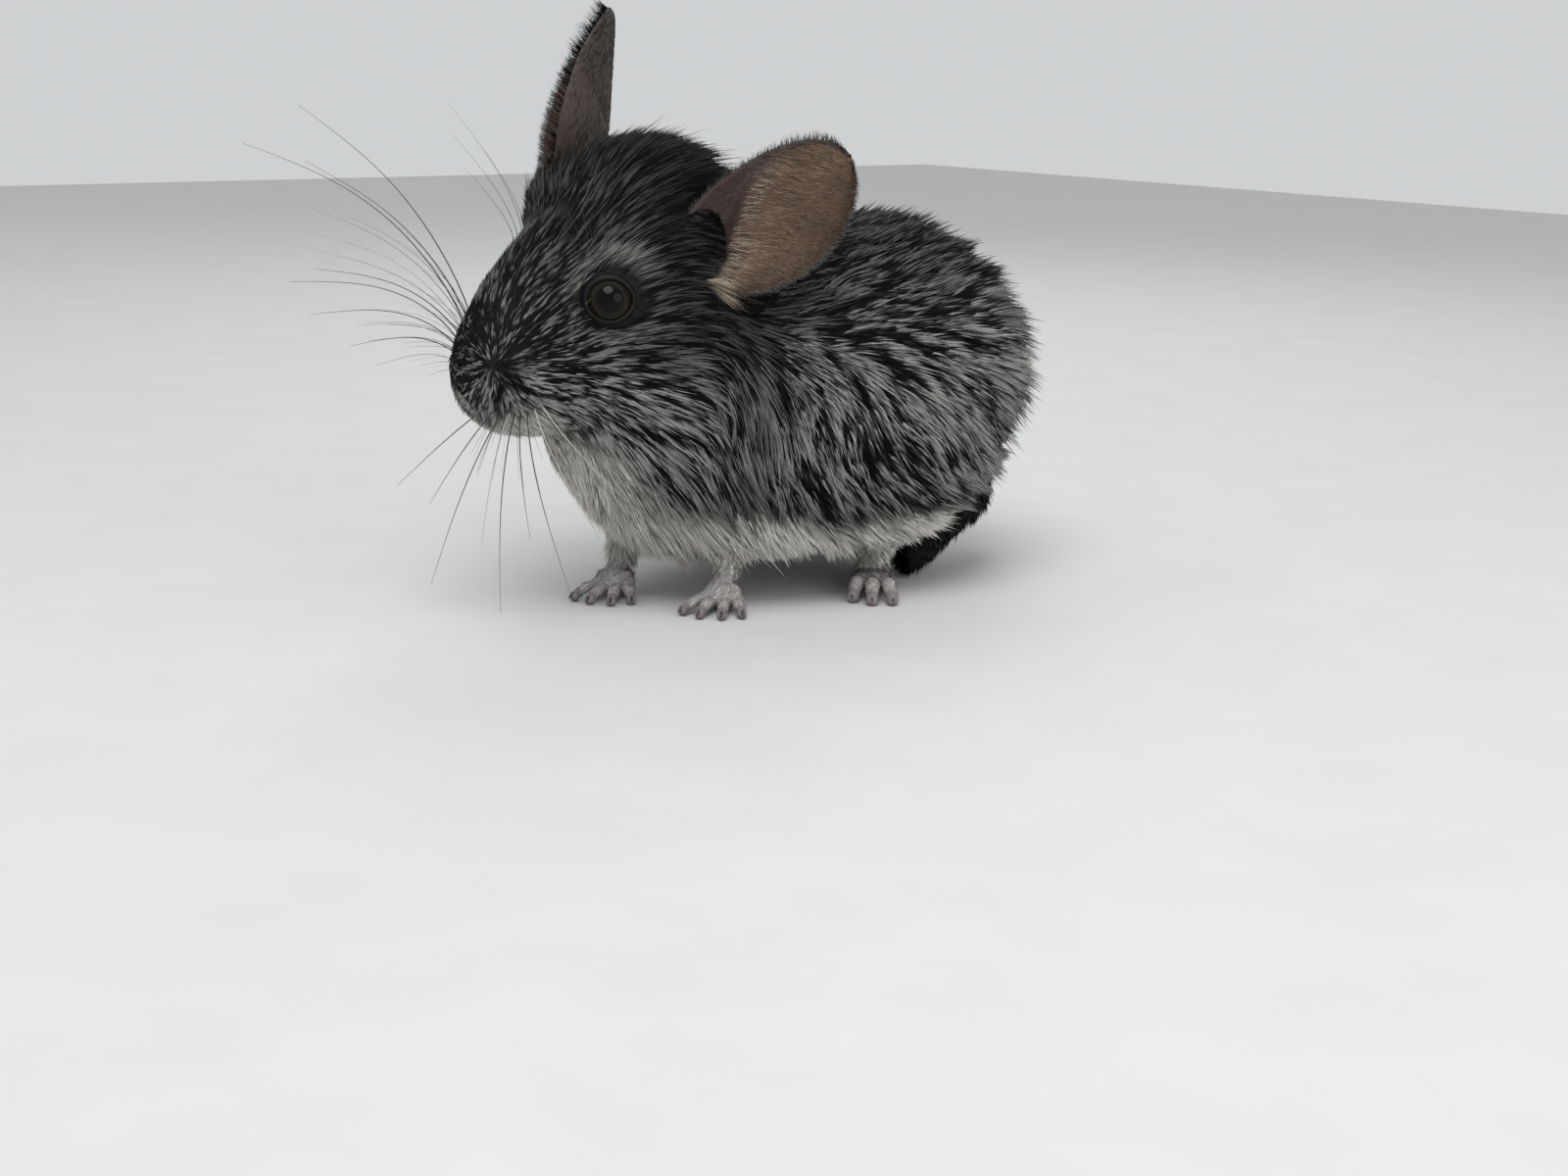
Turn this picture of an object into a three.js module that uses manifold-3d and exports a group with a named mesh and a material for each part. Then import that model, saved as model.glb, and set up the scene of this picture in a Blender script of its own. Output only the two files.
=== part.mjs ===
// Standing chinchilla, life size: nose towards -Y, the animal's left towards +X, floor at z = 0.
// The outline of every furred node is the tip of its plush coat.
import * as THREE from "three";
import Module from "manifold-3d";

const wasm = await Module();
wasm.setup();
const { Manifold, Mesh } = wasm;

// Driving dimensions, in millimetres
const nodeGap = 0.3;
const blendWidth = 5;
const eyeCentre = [17, -72.4, 81.6];
const eyeRadius = 6.3;
const lidThickness = 0.9;
const earThickness = 1.1;
const earHalfWidth = 15.1;
const earHalfLength = 24.2;
const earMiddle = 22;
const whiskerThickness = 0.6;
const tailLockCount = 22;
const floorLevel = 0;

// The animal's flesh and coat as blended ellipsoids: centre, half sizes, nose-down pitch in degrees
const forms = [
  { at: [0, 26.5, 56.3], half: [46, 46, 43.3], pitch: 0 },
  { at: [0, -8, 27], half: [37, 43, 20], pitch: 0 },
  { at: [0, -8, 53], half: [45, 47, 47], pitch: 0 },
  { at: [0, -40, 52], half: [34, 33, 38], pitch: 0 },
  { at: [0, -53, 70], half: [26, 26, 32], pitch: 0 },
  { at: [-2, -48.5, 95.5], half: [26.5, 27, 25.5], pitch: 10 },
  { at: [-19, -58.5, 101.5], half: [8.5, 10, 10.5], pitch: 0 },
  { at: [9, -52, 78], half: [13, 17, 17], pitch: 0 },
  { at: [-12, -52, 78], half: [13, 17, 17], pitch: 0 },
  { at: [0, -77, 82], half: [10.5, 23, 16], pitch: 36 },
  { at: [0, -90, 68], half: [8.5, 11, 9.5], pitch: 30 },
  { at: [5.5, -89, 62], half: [7, 9.5, 7.5], pitch: 30 },
  { at: [-5.5, -89, 62], half: [7, 9.5, 7.5], pitch: 30 },
  { at: [0, -84, 57], half: [6.5, 8, 5], pitch: 0 },
  { at: [31, 12, 43], half: [17, 30, 29], pitch: 0 },
  { at: [-31, 12, 43], half: [17, 30, 29], pitch: 0 },
].map((form) => ({
  ...form,
  cos: Math.cos((form.pitch * Math.PI) / 180),
  sin: Math.sin((form.pitch * Math.PI) / 180),
}));

// Signed distance to one ellipsoid, close to true near its surface
function formDistance(form, x, y, z) {
  const dx = x - form.at[0];
  const dy = y - form.at[1];
  const dz = z - form.at[2];
  const turnedY = dy * form.cos + dz * form.sin;
  const turnedZ = -dy * form.sin + dz * form.cos;
  const [a, b, c] = form.half;
  const near = Math.hypot(dx / a, turnedY / b, turnedZ / c);
  const slope = Math.hypot(dx / (a * a), turnedY / (b * b), turnedZ / (c * c));
  return slope < 1e-9 ? -Math.min(a, b, c) : (near * (near - 1)) / slope;
}

function bodyDistance(x, y, z) {
  let sum = 0;
  for (const form of forms) {
    sum += Math.exp(-formDistance(form, x, y, z) / blendWidth);
  }
  return -blendWidth * Math.log(sum);
}

function fromThree(geometry) {
  const places = geometry.attributes.position;
  const order = new Map();
  const points = [];
  const corners = [];
  const count = geometry.index ? geometry.index.count : places.count;
  for (let i = 0; i < count; i += 1) {
    const v = geometry.index ? geometry.index.getX(i) : i;
    const p = [places.getX(v), places.getY(v), places.getZ(v)];
    const key = p.map((value) => Math.round(value * 1e5)).join(",");
    if (!order.has(key)) {
      order.set(key, points.length / 3);
      points.push(...p);
    }
    corners.push(order.get(key));
  }
  return new Manifold(
    new Mesh({ numProp: 3, vertProperties: new Float32Array(points), triVerts: new Uint32Array(corners) })
  );
}

function toMesh(solid, name, material) {
  const mesh = solid.getMesh();
  const geometry = new THREE.BufferGeometry();
  const points = [];
  for (let i = 0; i < mesh.numVert; i += 1) {
    for (let k = 0; k < 3; k += 1) {
      points.push(mesh.vertProperties[i * mesh.numProp + k]);
    }
  }
  geometry.setAttribute("position", new THREE.Float32BufferAttribute(points, 3));
  geometry.setIndex(Array.from(mesh.triVerts));
  geometry.computeVertexNormals();
  const piece = new THREE.Mesh(geometry, material);
  piece.name = name;
  return piece;
}

// The largest closed body of a solid, without loose crumbs
function mainBody(solid) {
  const bodies = solid.decompose();
  return bodies.reduce((best, body) => (body.volume() > best.volume() ? body : best));
}

// A ball grown from a centre until its rays leave the body, stopped a little beyond the dividing planes
function grownBall(centre, detail, planes, extra = 0) {
  const geometry = new THREE.IcosahedronGeometry(1, detail);
  const places = geometry.attributes.position;
  const overrun = 9;
  const known = new Map();
  const outside = (x, y, z) => {
    const past = planes.map(({ normal, offset }) => {
      return offset - overrun - (normal[0] * x + normal[1] * y + normal[2] * z);
    });
    return Math.max(bodyDistance(x, y, z) - extra, ...past);
  };
  for (let i = 0; i < places.count; i += 1) {
    const ray = [places.getX(i), places.getY(i), places.getZ(i)];
    const key = ray.map((value) => Math.round(value * 1e4)).join(",");
    if (!known.has(key)) {
      let inner = 0;
      let outer = 2;
      while (outside(...centre.map((c, k) => c + ray[k] * outer)) < 0) {
        inner = outer;
        outer += 2;
      }
      for (let step = 0; step < 18; step += 1) {
        const middle = (inner + outer) / 2;
        if (outside(...centre.map((c, k) => c + ray[k] * middle)) < 0) {
          inner = middle;
        } else {
          outer = middle;
        }
      }
      known.set(key, inner);
    }
    const reach = known.get(key);
    places.setXYZ(i, ...centre.map((c, k) => c + ray[k] * reach));
  }
  return fromThree(geometry);
}

function plane(normal, through) {
  const length = Math.hypot(...normal);
  const unit = normal.map((value) => value / length);
  return { normal: unit, offset: unit.reduce((sum, value, k) => sum + value * through[k], 0) };
}

function flipped({ normal, offset }) {
  return { normal: normal.map((value) => -value), offset: -offset };
}

function trimmed(solid, { normal, offset }, inset = nodeGap / 2) {
  return solid.trimByPlane(normal, offset + inset);
}

// A round or flattened bar through a list of places, each with its half width and half height
function bar(stations, sides, extra = 0) {
  const places = stations.map((station) => new THREE.Vector3(...station.at));
  const count = places.length;
  const ends = [places[0].clone().sub(places[1]), places[count - 1].clone().sub(places[count - 2])];
  places[0].addScaledVector(ends[0].normalize(), extra);
  places[count - 1].addScaledVector(ends[1].normalize(), extra);
  const points = [];
  const corners = [];
  let side = new THREE.Vector3(1, 0, 0);
  stations.forEach((station, i) => {
    const before = places[Math.max(i - 1, 0)];
    const after = places[Math.min(i + 1, places.length - 1)];
    const along = after.clone().sub(before).normalize();
    side = side.clone().addScaledVector(along, -side.dot(along));
    if (side.lengthSq() < 1e-4) {
      side.set(0, 1, 0).addScaledVector(along, -along.y);
    }
    side.normalize();
    const rise = along.clone().cross(side);
    const [halfWidth, halfHeight] = station.half;
    for (let k = 0; k < sides; k += 1) {
      const angle = (2 * Math.PI * k) / sides;
      const p = places[i]
        .clone()
        .addScaledVector(side, Math.cos(angle) * (halfWidth + extra))
        .addScaledVector(rise, Math.sin(angle) * (halfHeight + extra));
      points.push(p.x, p.y, p.z);
    }
  });
  for (let i = 0; i + 1 < stations.length; i += 1) {
    for (let k = 0; k < sides; k += 1) {
      const a = i * sides + k;
      const b = i * sides + ((k + 1) % sides);
      corners.push(a, b, b + sides, a, b + sides, a + sides);
    }
  }
  const last = (stations.length - 1) * sides;
  for (let k = 1; k + 1 < sides; k += 1) {
    corners.push(0, k + 1, k, last, last + k, last + k + 1);
  }
  return new Manifold(
    new Mesh({ numProp: 3, vertProperties: new Float32Array(points), triVerts: new Uint32Array(corners) })
  );
}

function ball(at, half, segments) {
  return Manifold.sphere(1, segments).scale(half).translate(at);
}

// Dividing planes; each normal points into the node nearer the nose
const neckBack = plane([0, -0.9, 0.42], [0, -33, 66]);
const headBack = plane([0, -0.72, 0.69], [0, -46, 76]);
const muzzleBack = plane([0, -0.86, -0.5], [0, -86, 66]);

// Legs and feet
function footParts({ palm, palmHalf, leg, legHalf, toes, toeHalf, clawLength }, extra) {
  const parts = [bar(palm.map((at, i) => ({ at, half: palmHalf[i] })), 12, extra)];
  if (leg) {
    parts.push(bar(leg.map((at, i) => ({ at, half: legHalf[i] })), 12, extra));
  }
  for (const toe of toes) {
    const stations = toe.map((at, i) => ({ at, half: [toeHalf[i], toeHalf[i]] }));
    parts.push(bar(stations, 8, extra));
    const tip = toe[toe.length - 1];
    const before = toe[toe.length - 2];
    const run = tip.map((value, k) => value - before[k]);
    const length = Math.hypot(...run);
    const ahead = run.map((value) => value / length);
    const claw = [-1.2, clawLength * 0.5, clawLength].map((reach, i) => ({
      at: [tip[0] + ahead[0] * reach, tip[1] + ahead[1] * reach, tip[2] + 0.2 - 0.25 * i],
      half: [[0.75, 0.8], [0.55, 0.6], [0.25, 0.3]][i],
    }));
    parts.push(bar(claw, 6, extra));
  }
  return Manifold.union(parts);
}

// Toes fan out from the front of a palm whose axis is turned by an angle from straight ahead
function toeFan(root, turn, fan, lengths, spread, heights) {
  return lengths.map((length, i) => {
    const share = i - (lengths.length - 1) / 2;
    const angle = ((turn + share * fan) * Math.PI) / 180;
    const ahead = [Math.sin(angle), -Math.cos(angle)];
    const across = [Math.cos((turn * Math.PI) / 180), Math.sin((turn * Math.PI) / 180)];
    const start = [root[0] + across[0] * share * spread, root[1] + across[1] * share * spread];
    return heights.map((height, k) => {
      const reach = (length * k) / (heights.length - 1);
      return [start[0] + ahead[0] * reach, start[1] + ahead[1] * reach, height];
    });
  });
}

function foreFoot(wrist, turn) {
  const angle = (turn * Math.PI) / 180;
  const ahead = [Math.sin(angle), -Math.cos(angle)];
  const ahead3 = (reach, z) => [wrist[0] + ahead[0] * reach, wrist[1] + ahead[1] * reach, z];
  return {
    palm: [ahead3(-3, 15), ahead3(-1.5, 9), ahead3(1.5, 4.6), ahead3(6.5, 2.6), ahead3(8.5, 2.2)],
    palmHalf: [[3.1, 3.3], [3.1, 3.3], [3.7, 3.2], [4.6, 2.6], [4.0, 2.0]],
    toes: toeFan(ahead3(6, 0), turn, 17, [9.5, 11, 10.6, 8.5], 2.5, [2.7, 3.0, 1.5]),
    toeHalf: [1.5, 1.35, 1.15],
    clawLength: 1.6,
  };
}

function hindFoot(toeRoot, turn, length) {
  const angle = (turn * Math.PI) / 180;
  const ahead = [Math.sin(angle), -Math.cos(angle)];
  const ahead3 = (reach, z) => [toeRoot[0] + ahead[0] * reach, toeRoot[1] + ahead[1] * reach, z];
  return {
    palm: [ahead3(-length, 3.6), ahead3(-length * 0.6, 3.2), ahead3(-length * 0.2, 3.0), ahead3(1, 2.6)],
    palmHalf: [[3.2, 3.5], [3.9, 3.6], [4.8, 3.4], [4.6, 2.6]],
    leg: [ahead3(-9, 4.5), ahead3(-11, 10), ahead3(-13, 17), ahead3(-14, 25)],
    legHalf: [[4.4, 4.2], [4.8, 5.0], [6.2, 6.6], [8.0, 8.4]],
    toes: toeFan(ahead3(-1, 0), turn, 10, [10.5, 13, 12.5], 3.2, [3.2, 4.2, 1.9]),
    toeHalf: [2.0, 1.95, 1.5],
    clawLength: 1.5,
  };
}

const foreWrist = { left: [18, -35, 0], right: [-10, -49, 0] };
const foreTurn = { left: 38, right: 36 };
const hindToes = { left: [32, 4, 0], right: [-34, 5, 0] };
const hindTurn = { left: 48, right: -30 };
const ankleHeight = 13;
const wristHeight = 11;

function foreLegStations(side) {
  const [x, y] = foreWrist[side];
  const angle = (foreTurn[side] * Math.PI) / 180;
  const back = [-Math.sin(angle), Math.cos(angle)];
  const away = (reach, z) => [x + back[0] * reach, y + back[1] * reach, z];
  return [
    { at: away(2.0, wristHeight), half: [3.3, 3.5] },
    { at: away(3.2, 16), half: [3.9, 4.1] },
    { at: away(3.6, 22), half: [5.4, 5.6] },
    { at: away(3.4, 30), half: [7.2, 7.4] },
    { at: away(2.6, 38), half: [8.0, 8.2] },
  ];
}

// Tail: a stiff curve from the rump down to the floor and forward under the left haunch
const tailPath = [
  { at: [0, 58, 44], half: [8.0, 7.0] },
  { at: [-1, 67, 37], half: [7.2, 6.4] },
  { at: [-1.5, 72, 29], half: [6.4, 5.8] },
  { at: [1.2, 71.5, 21.5], half: [5.6, 5.2] },
  { at: [7, 65, 15.5], half: [5.0, 4.8] },
  { at: [11, 54, 11.8], half: [4.6, 4.5] },
  { at: [15, 43, 8.4], half: [4.3, 4.2] },
  { at: [18.5, 34.5, 6.4], half: [3.6, 3.4] },
  { at: [21, 28, 5.2], half: [2.4, 2.2] },
];
const tailSplit = plane([0.35, -0.83, -0.43], [4.5, 67, 18]);

let seed = 20;
function random() {
  seed = (seed * 1664525 + 1013904223) % 4294967296;
  return seed / 4294967296;
}

function tailPlace(share) {
  const spot = share * (tailPath.length - 1);
  const i = Math.min(Math.floor(spot), tailPath.length - 2);
  const mix = spot - i;
  const a = tailPath[i];
  const b = tailPath[i + 1];
  return {
    at: a.at.map((value, k) => value * (1 - mix) + b.at[k] * mix),
    half: a.half.map((value, k) => value * (1 - mix) + b.half[k] * mix),
    along: new THREE.Vector3(...b.at.map((value, k) => value - a.at[k])).normalize(),
  };
}

// Flat tapered locks of the tail's brush, roots sunk in the core and tips swept along it
function tailLocks() {
  const locks = [];
  for (let i = 0; i < tailLockCount; i += 1) {
    const share = 0.56 + 0.4 * (i / (tailLockCount - 1));
    const { at, half, along } = tailPlace(share);
    const turn = i * 2.4 + (random() - 0.5) * 0.5;
    const side = new THREE.Vector3(0, 0, 1).addScaledVector(along, -along.z).normalize();
    const out = side.applyAxisAngle(along, turn);
    const length = 10 + random() * 4;
    const lift = 0.62 + random() * 0.25;
    const stations = [0, 0.35, 0.7, 1].map((step, k) => {
      const forward = step * length;
      const rise = half[0] * 0.55 + Math.sin(step * 1.6) * length * lift * 0.32;
      return {
        at: at.map((value, axis) => value + along.getComponent(axis) * forward + out.getComponent(axis) * rise),
        half: [[1.9, 1.5], [1.7, 1.1], [1.15, 0.75], [0.35, 0.3]][k],
      };
    });
    locks.push(bar(stations, 5));
  }
  return locks;
}

// Ear: an oval leaf that leans back, curled across, with a pleat that runs from the rear base to the front edge
const earLean = { base: 3, slope: 0.17, bend: -0.0047 };
const pleat = { top: 38, start: 0.96, bend: 1.75, width: 0.08, trough: 0.22 };

function earPoint(pose, across, step) {
  const first = Math.acos(earMiddle / earHalfLength);
  const angle = first + (Math.PI * 0.985 - first) * step;
  const v = earMiddle - earHalfLength * Math.cos(angle);
  const half = earHalfWidth * Math.sin(angle);
  const centre = earLean.base + earLean.slope * v + earLean.bend * v * v;
  const u = centre + half * (2 * across - 1);
  const crease = pleat.start * Math.max(0, 1 - v / pleat.top) ** pleat.bend;
  const trough = across < crease ? Math.sin((Math.PI * across) / crease) * crease * pleat.trough : 0;
  const ridge = pose.ridge * Math.exp(-(((across - crease) / pleat.width) ** 2)) * Math.min(1, crease / 0.2);
  const curl = pose.curl * (1.35 - 0.0185 * v) * Math.sin(Math.PI * across) ** 0.8;
  const reach = v / (earMiddle + earHalfLength);
  const depth = ridge - 2 * half * (curl + trough) + pose.nod * v * v + pose.bow * 4 * reach * (1 - reach);
  return new THREE.Vector3(u, v, depth);
}

// Share across the leaf of one column of its grid, with a column kept on the crease
function earColumn(column, count, step) {
  const first = Math.acos(earMiddle / earHalfLength);
  const v = earMiddle - earHalfLength * Math.cos(first + (Math.PI * 0.985 - first) * step);
  const crease = Math.max(0.14, pleat.start * Math.max(0, 1 - v / pleat.top) ** pleat.bend);
  const held = Math.round(count / 3);
  return column <= held ? (crease * column) / held : crease + ((1 - crease) * (column - held)) / (count - held);
}

// A point of the leaf moved along its own normal
function earSkin(pose, across, step, lift) {
  const e = 0.004;
  const wide = earPoint(pose, Math.min(across + e, 1), step).sub(earPoint(pose, Math.max(across - e, 0), step));
  const long = earPoint(pose, across, Math.min(step + e, 1)).sub(earPoint(pose, across, Math.max(step - e, 0)));
  return earPoint(pose, across, step).addScaledVector(wide.cross(long).normalize(), lift);
}

function earSheet(pose, acrossCount, stepCount) {
  const points = [];
  const corners = [];
  const [eu, ev, en] = pose.axes;
  const place = (at) => pose.root.map((value, k) => value + eu[k] * at.x + ev[k] * at.y + en[k] * at.z);
  const row = acrossCount + 1;
  for (const shift of [earThickness / 2, -earThickness / 2]) {
    for (let j = 0; j < stepCount; j += 1) {
      for (let i = 0; i <= acrossCount; i += 1) {
        const step = j / (stepCount - 1);
        points.push(...place(earSkin(pose, earColumn(i, acrossCount, step), step, shift)));
      }
    }
  }
  const back = row * stepCount;
  const quad = (a, b, c, d) => corners.push(a, b, c, a, c, d);
  for (let j = 0; j + 1 < stepCount; j += 1) {
    for (let i = 0; i < acrossCount; i += 1) {
      const a = j * row + i;
      quad(a, a + 1, a + row + 1, a + row);
      quad(back + a, back + a + row, back + a + row + 1, back + a + 1);
    }
    const front = j * row;
    const rear = j * row + acrossCount;
    quad(front, front + row, back + front + row, back + front);
    quad(rear, back + rear, back + rear + row, rear + row);
  }
  const top = (stepCount - 1) * row;
  for (let i = 0; i < acrossCount; i += 1) {
    quad(i, back + i, back + i + 1, i + 1);
    quad(top + i, top + i + 1, back + top + i + 1, back + top + i);
  }
  if (pose.side < 0) {
    for (let t = 0; t < corners.length; t += 3) {
      [corners[t], corners[t + 1]] = [corners[t + 1], corners[t]];
    }
  }
  return new Manifold(
    new Mesh({ numProp: 3, vertProperties: new Float32Array(points), triVerts: new Uint32Array(corners) })
  );
}

// Axes of an ear from the direction it points and the direction its hollow faces
function earPose({ side, root, pointing, facing, ...looks }) {
  const ev = new THREE.Vector3(...pointing).normalize();
  const en = new THREE.Vector3(...facing);
  en.addScaledVector(ev, -en.dot(ev)).normalize();
  const eu = ev.clone().cross(en).multiplyScalar(side);
  return { side, root, ...looks, axes: [eu.toArray(), ev.toArray(), en.toArray()] };
}

const ears = {
  left: earPose({
    side: 1,
    root: [21.8, -53.3, 93.2],
    pointing: [0.42, 0.72, 0.49],
    facing: [0.79, -0.59, 0.18],
    curl: 0.22,
    ridge: 2,
    nod: 0.003,
    bow: 0,
  }),
  right: earPose({
    side: -1,
    root: [-22.4, -62.8, 109.5],
    pointing: [-0.05, 0.42, 0.9],
    facing: [-0.5, -0.86, 0.3],
    curl: 0.46,
    ridge: 1,
    nod: 0,
    bow: 4,
  }),
};

// Whiskers fan out from each pad: first and last values of the turn from straight ahead, of the rise
// above the level with its swell at mid fan, and of the bow that lifts or pushes the middle of a hair
const whiskerFans = {
  left: {
    roots: [[7.6, -95.5, 60], [10.2, -90, 60]],
    turn: [-10, 102],
    rise: [-36, -36, -24],
    bow: [0.05, 0.05],
    bowTo: [0, -1, 0],
    lengths: [36, 35, 53, 40, 56, 38, 54, 44, 45],
  },
  right: {
    roots: [[-8.6, -91.5, 65.5], [-8, -95.5, 60.5]],
    turn: [69, 51],
    rise: [46, 6, 0],
    bow: [0.12, 0.2],
    bowTo: [0, 0.3, 0.95],
    lengths: [84, 72, 88, 61, 52, 56, 47, 34, 26],
  },
};

function whiskerStations(side, fan, i) {
  const share = i / (fan.lengths.length - 1);
  const mix = ([first, last]) => first + (last - first) * share;
  const turn = (mix(fan.turn) * Math.PI) / 180;
  const rise = ((mix(fan.rise) + fan.rise[2] * Math.sin(Math.PI * share)) * Math.PI) / 180;
  const ahead = [side * Math.sin(turn) * Math.cos(rise), -Math.cos(turn) * Math.cos(rise), Math.sin(rise)];
  const steps = 7;
  const stations = [];
  for (let n = 0; n <= steps; n += 1) {
    const along = n / steps;
    const swell = mix(fan.bow) * Math.sin(Math.PI * along ** 0.8);
    const half = (whiskerThickness / 2) * (1 - 0.55 * along);
    stations.push({
      at: ahead.map((value, k) => {
        return mix([fan.roots[0][k], fan.roots[1][k]]) + fan.lengths[i] * (value * along + fan.bowTo[k] * swell);
      }),
      half: [half, half],
    });
  }
  return stations;
}

// Materials
const materials = Object.fromEntries(
  [
    ["coat", 0x77757a, 0.95],
    ["ear_skin", 0x6f574f, 0.75],
    ["eye", 0x0c0a0a, 0.1],
    ["paw", 0xa8a3a2, 0.9],
    ["tail_hair", 0x2a282a, 0.9],
  ].map(([name, color, roughness]) => [name, new THREE.MeshStandardMaterial({ name, color, roughness })])
);

// Feet, legs and tail
const sides = ["left", "right"];
const sign = { left: 1, right: -1 };
const feet = {};
const legs = {};
for (const side of sides) {
  const fore = foreFoot(foreWrist[side], foreTurn[side]);
  const hind = hindFoot(hindToes[side], hindTurn[side], 34);
  feet[side] = {
    fore: (extra) => footParts(fore, extra).trimByPlane([0, 0, 1], floorLevel - extra),
    hind: (extra) => footParts(hind, extra).trimByPlane([0, 0, 1], floorLevel - extra),
  };
  legs[side] = (extra) => bar(foreLegStations(side), 14, extra);
}
const tailCore = (extra) => bar(tailPath, 14, extra);

// Torso, neck and haunches
const torsoAll = trimmed(grownBall([0, 10, 55], 8, [flipped(neckBack)]), flipped(neckBack));
const haunchCut = (side, extra) => ball([sign[side] * 46, 22, 37], [27 + extra, 35 + extra, 34 + extra], 20);
let torso = torsoAll;
const haunches = {};
for (const side of sides) {
  torso = torso.subtract(haunchCut(side, nodeGap));
  haunches[side] = torsoAll.intersect(haunchCut(side, 0));
}
const neck = trimmed(trimmed(grownBall([0, -46, 72], 8, [neckBack, flipped(headBack)]), neckBack), flipped(headBack));
let neckBody = neck;
const tailFat = tailCore(nodeGap);
torso = torso.subtract(tailFat);

const upperLegs = {};
const hindFeet = {};
for (const side of sides) {
  const foreFat = Manifold.union([feet[side].fore(nodeGap), legs[side](nodeGap)]);
  torso = torso.subtract(foreFat);
  neckBody = neckBody.subtract(foreFat);
  const hindFat = feet[side].hind(nodeGap);
  torso = torso.subtract(hindFat);
  neckBody = neckBody.subtract(hindFat);
  haunches[side] = mainBody(haunches[side].subtract(hindFat).subtract(tailFat));
  hindFeet[side] = mainBody(feet[side].hind(0));
  upperLegs[side] = legs[side](0).trimByPlane([0, 0, 1], wristHeight + 0.6 + nodeGap / 2);
}
torso = mainBody(torso);
neckBody = mainBody(neckBody);

// Head with eye sockets, lids and the seats of the ears
let head = grownBall([0, -62, 84], 10, [headBack, flipped(muzzleBack)]);
head = trimmed(trimmed(head, headBack), flipped(muzzleBack));
function lidRing(side) {
  const centre = eyeCentre.map((value, k) => (k === 0 ? value * sign[side] : value));
  const ring = ball(centre, Array(3).fill(eyeRadius + lidThickness), 24);
  const cutDirection = [0.86 * sign[side], -0.45, 0.24];
  const cut = plane(cutDirection, centre);
  const opening = ball(
    centre.map((value, k) => value + cut.normal[k] * 5.2),
    [5.9, 5.9, 5.5],
    24
  );
  return ring.trimByPlane(cut.normal.map((value) => -value), -cut.offset - 4.6).subtract(opening);
}
const eyes = {};
for (const side of sides) {
  const centre = eyeCentre.map((value, k) => (k === 0 ? value * sign[side] : value));
  const socket = ball(centre, Array(3).fill(eyeRadius + nodeGap), 24);
  head = head.add(lidRing(side)).subtract(socket);
  eyes[side] = ball(centre, Array(3).fill(eyeRadius), 24);
}

const headFat = grownBall([0, -62, 84], 10, [headBack, flipped(muzzleBack)], nodeGap);
const neckFat = grownBall([0, -46, 72], 8, [neckBack, flipped(headBack)], nodeGap);
const earSolids = {};
for (const side of sides) {
  const pose = ears[side];
  const sheet = earSheet(pose, 12, 15);
  const root = ball(pose.root, [5.2, 5.2, 6], 16);
  earSolids[side] = { sheet, root };
}

// Muzzle with nostrils, mouth line and whiskers
let muzzle = trimmed(trimmed(grownBall([0, -91, 64], 8, [muzzleBack, headBack]), muzzleBack), headBack);
function surfaceAlong(origin, direction) {
  let reach = 0;
  while (bodyDistance(...origin.map((value, k) => value + direction[k] * reach)) < 0) {
    reach += 0.05;
  }
  return origin.map((value, k) => value + direction[k] * reach);
}
for (const side of sides) {
  const nostril = surfaceAlong([0, -92, 64], new THREE.Vector3(0.2 * sign[side], -0.97, 0.06).normalize().toArray());
  muzzle = muzzle.subtract(ball(nostril, [0.9, 1.6, 0.7], 12));
}
const cleft = [0, -0.14, -0.3, -0.46].map((rise) => {
  return { at: surfaceAlong([0, -90, 62], new THREE.Vector3(0, -0.9, rise).normalize().toArray()), half: [0.5, 0.5] };
});
const mouth = [-1, -0.6, -0.2, 0.2, 0.6, 1].map((share) => {
  const aim = new THREE.Vector3(share * 0.62, -0.62 + 0.1 * Math.abs(share), -0.78).normalize().toArray();
  return { at: surfaceAlong([0, -89, 62], aim), half: [0.6, 0.6] };
});
muzzle = muzzle.subtract(bar(cleft, 6)).subtract(bar(mouth, 6));
const whiskers = sides.flatMap((side) => {
  const fan = whiskerFans[side];
  return fan.lengths.map((length, i) => bar(whiskerStations(sign[side], fan, i), 3));
});
muzzle = Manifold.union([muzzle, ...whiskers]);

// Tail in two nodes
const tailAll = tailCore(0);
const tailBase = trimmed(tailAll, flipped(tailSplit));
const tailBrushCore = trimmed(tailAll, tailSplit);
let tailBrush = Manifold.union([tailBrushCore, ...tailLocks()]);
tailBrush = trimmed(tailBrush, tailSplit).trimByPlane([0, 0, 1], floorLevel).subtract(feet.left.hind(nodeGap));

// Gather the nodes
const solids = [
  ["torso", torso, "coat"],
  ["neck", neckBody, "coat"],
  ["head", mainBody(head), "coat"],
  ["muzzle", mainBody(muzzle), "coat"],
];
for (const side of sides) {
  const { sheet, root } = earSolids[side];
  const ear = sheet.add(root).subtract(headFat).subtract(neckFat);
  solids.push([`ear_${side}`, mainBody(ear), "ear_skin"]);
  solids.push([`eye_${side}`, eyes[side], "eye"]);
  solids.push([`haunch_${side}`, haunches[side], "coat"]);
  solids.push([`foreleg_${side}`, upperLegs[side], "coat"]);
  const paw = feet[side].fore(0).trimByPlane([0, 0, -1], -(wristHeight + 0.6 - nodeGap / 2));
  solids.push([`forefoot_${side}`, mainBody(paw), "paw"]);
  solids.push([`hindfoot_${side}`, hindFeet[side], "paw"]);
}
solids.push(["tail_base", tailBase, "coat"]);
solids.push(["tail_brush", mainBody(tailBrush), "tail_hair"]);

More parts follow.
